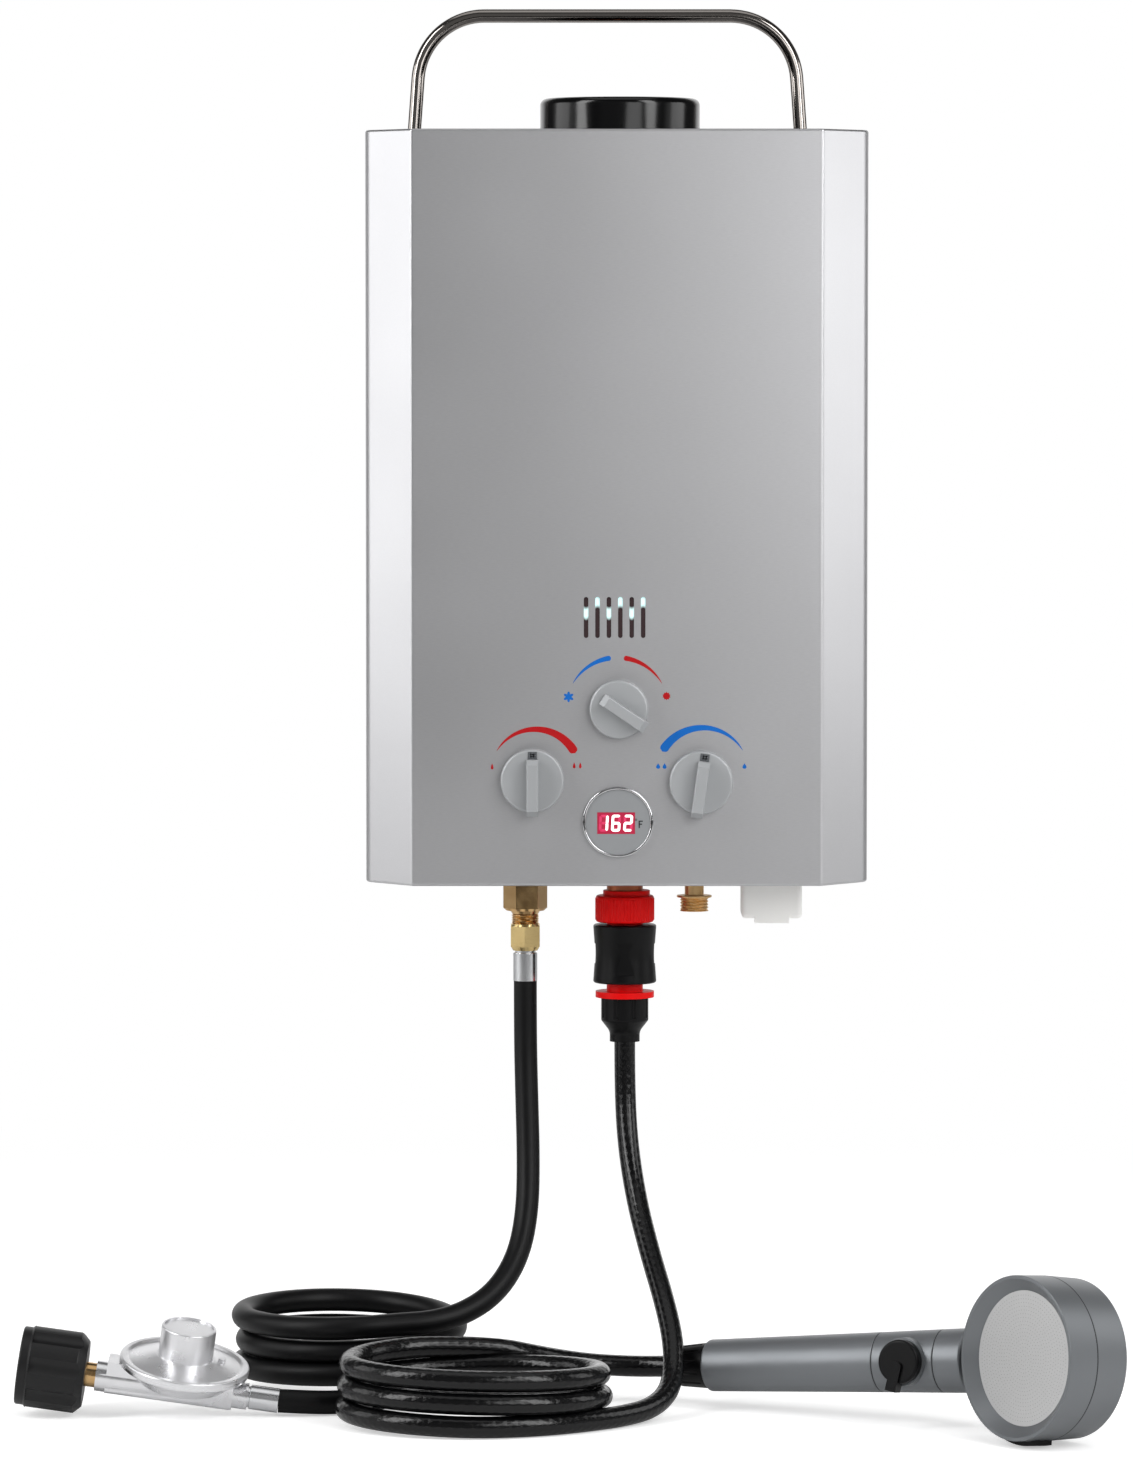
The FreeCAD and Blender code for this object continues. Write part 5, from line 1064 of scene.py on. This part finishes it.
def add_surround():
    """White to the camera, and to the object a grey room whose brightness goes by direction.

    Each step adds its change while a coordinate of the direction goes from its start to its end.
    """
    world = bpy.data.worlds.new("surround")
    bpy.context.scene.world = world
    world.use_nodes = True
    tree = world.node_tree
    tree.nodes.clear()
    ray = node(tree, "LightPath")
    place = node(tree, "TexCoord")
    split = node(tree, "SeparateXYZ", {"Vector": place.outputs["Generated"]})
    side = node(tree, "Math", {0: split.outputs["X"]}, operation="ABSOLUTE")
    left = node(tree, "Math", {0: split.outputs["X"], 1: 0.0}, operation="MINIMUM")
    rear = node(tree, "Math", {0: left, 1: 0.2, 2: split.outputs["Y"]}, operation="MULTIPLY_ADD")
    steps = (
        (side, 0.4, 0.62, -0.12),  # duller walls at both sides
        (side, 0.9, 0.97, 0.7),  # a bright panel straight out to each side
        (split.outputs["Z"], 0.5, 0.8, -0.15),  # duller above
        (rear, 0.15, 0.35, -1.1),  # dark behind, from a little further round at the left
        (split.outputs["Y"], 0.6, 0.85, 2.1),  # a bright wall straight behind
        (split.outputs["Z"], 0.84, 0.93, 0.9),  # a bright panel straight above
    )
    level = 0.22
    darkest = 0.08
    for source, start, end, change in steps:
        step = node(tree, "MapRange", {"Value": source, "From Min": start, "From Max": end, "To Max": change},
                    interpolation_type="SMOOTHSTEP")
        level = node(tree, "Math", {0: level, 1: step}, operation="ADD")
    lowest = node(tree, "Math", {0: level, 1: darkest}, operation="MAXIMUM")
    seen = node(tree, "Mix", {"Factor": ray.outputs["Is Camera Ray"], "A": lowest, "B": 1.0})
    back = node(tree, "Background", {"Color": (1, 1, 1, 1), "Strength": seen.outputs["Result"]})
    output = node(tree, "OutputWorld", {"Surface": back})
    output.is_active_output = True


def pale_floor():
    """Floor that shows soft shadows on white and fades into the surround from 0.85 to 1.5 m out.

    Reflections see matt paint that turns dark grey 1.9 m in front, which keeps them dark low down.
    """
    white = (1, 1, 1, 1)
    made = bpy.data.materials.new("matt_white_floor")
    made.use_nodes = True
    tree = made.node_tree
    tree.nodes.clear()
    ray = node(tree, "LightPath")
    glow = node(tree, "Emission", {"Color": white, "Strength": 1.0})
    place = node(tree, "TexCoord")
    reach = node(tree, "VectorMath", {0: place.outputs["Object"]}, operation="LENGTH")
    fade = node(tree, "MapRange", {"Value": reach.outputs["Value"], "From Min": 0.85, "From Max": 1.5},
                interpolation_type="SMOOTHSTEP")
    split = node(tree, "SeparateXYZ", {"Vector": place.outputs["Object"]})
    ahead = node(tree, "MapRange", {"Value": split.outputs["Y"], "From Min": -1.3, "From Max": -1.9},
                 interpolation_type="SMOOTHSTEP")
    paint = node(tree, "Mix", {"Factor": ahead}, data_type="RGBA")
    paint.inputs["A"].default_value = linear("#f2f2f2")
    paint.inputs["B"].default_value = linear("#3c3c3c")
    matt = node(tree, "BsdfDiffuse", {"Color": paint.outputs["Result"]})
    bright = node(tree, "BsdfDiffuse", {"Color": white})
    fill = node(tree, "Emission", {"Color": white, "Strength": 2.3})
    lifted = node(tree, "MixShader", {0: 0.2, 1: bright, 2: fill})
    far = node(tree, "MixShader", {0: fade, 1: lifted, 2: glow})
    seen = node(tree, "MixShader", {0: ray.outputs["Is Camera Ray"], 1: matt, 2: far})
    node(tree, "OutputMaterial", {"Surface": seen})
    return made


def add_floor():
    """Flat sheet under everything, on the ground that the hoses lie on."""
    half = 6.0
    z = FLOOR * MM
    mesh = bpy.data.meshes.new("floor")
    mesh.from_pydata([(-half, -half, z), (half, -half, z), (half, half, z), (-half, half, z)], [],
                     [(0, 1, 2, 3)])
    mesh.materials.append(pale_floor())
    floor = put("floor", mesh)


bpy.context.scene.view_settings.view_transform = "Standard"
add_camera()
whole_object = (0.0, -0.1, -0.3)
add_lamp("left_box", (-2.4, -1.6, 1.15), whole_object, 0.9, 2.7, 62)
add_lamp("right_box", (1.8, -1.9, 1.1), whole_object, 0.8, 2.5, 46)
add_lamp("panel_box", (0.44, -1.3, 0.06), (0.08, -0.1, -0.05), 0.5, 0.7, 3.2)
add_lamp("left_bevel_box", (-1.3, -0.05, 0.0), (-0.1, -0.1, -0.15), 0.6, 0.8, 3.1)
add_lamp("right_bevel_box", (1.3, -0.05, 0.05), (0.1, -0.1, -0.1), 0.6, 0.8, 3.2)
add_surround()
add_floor()
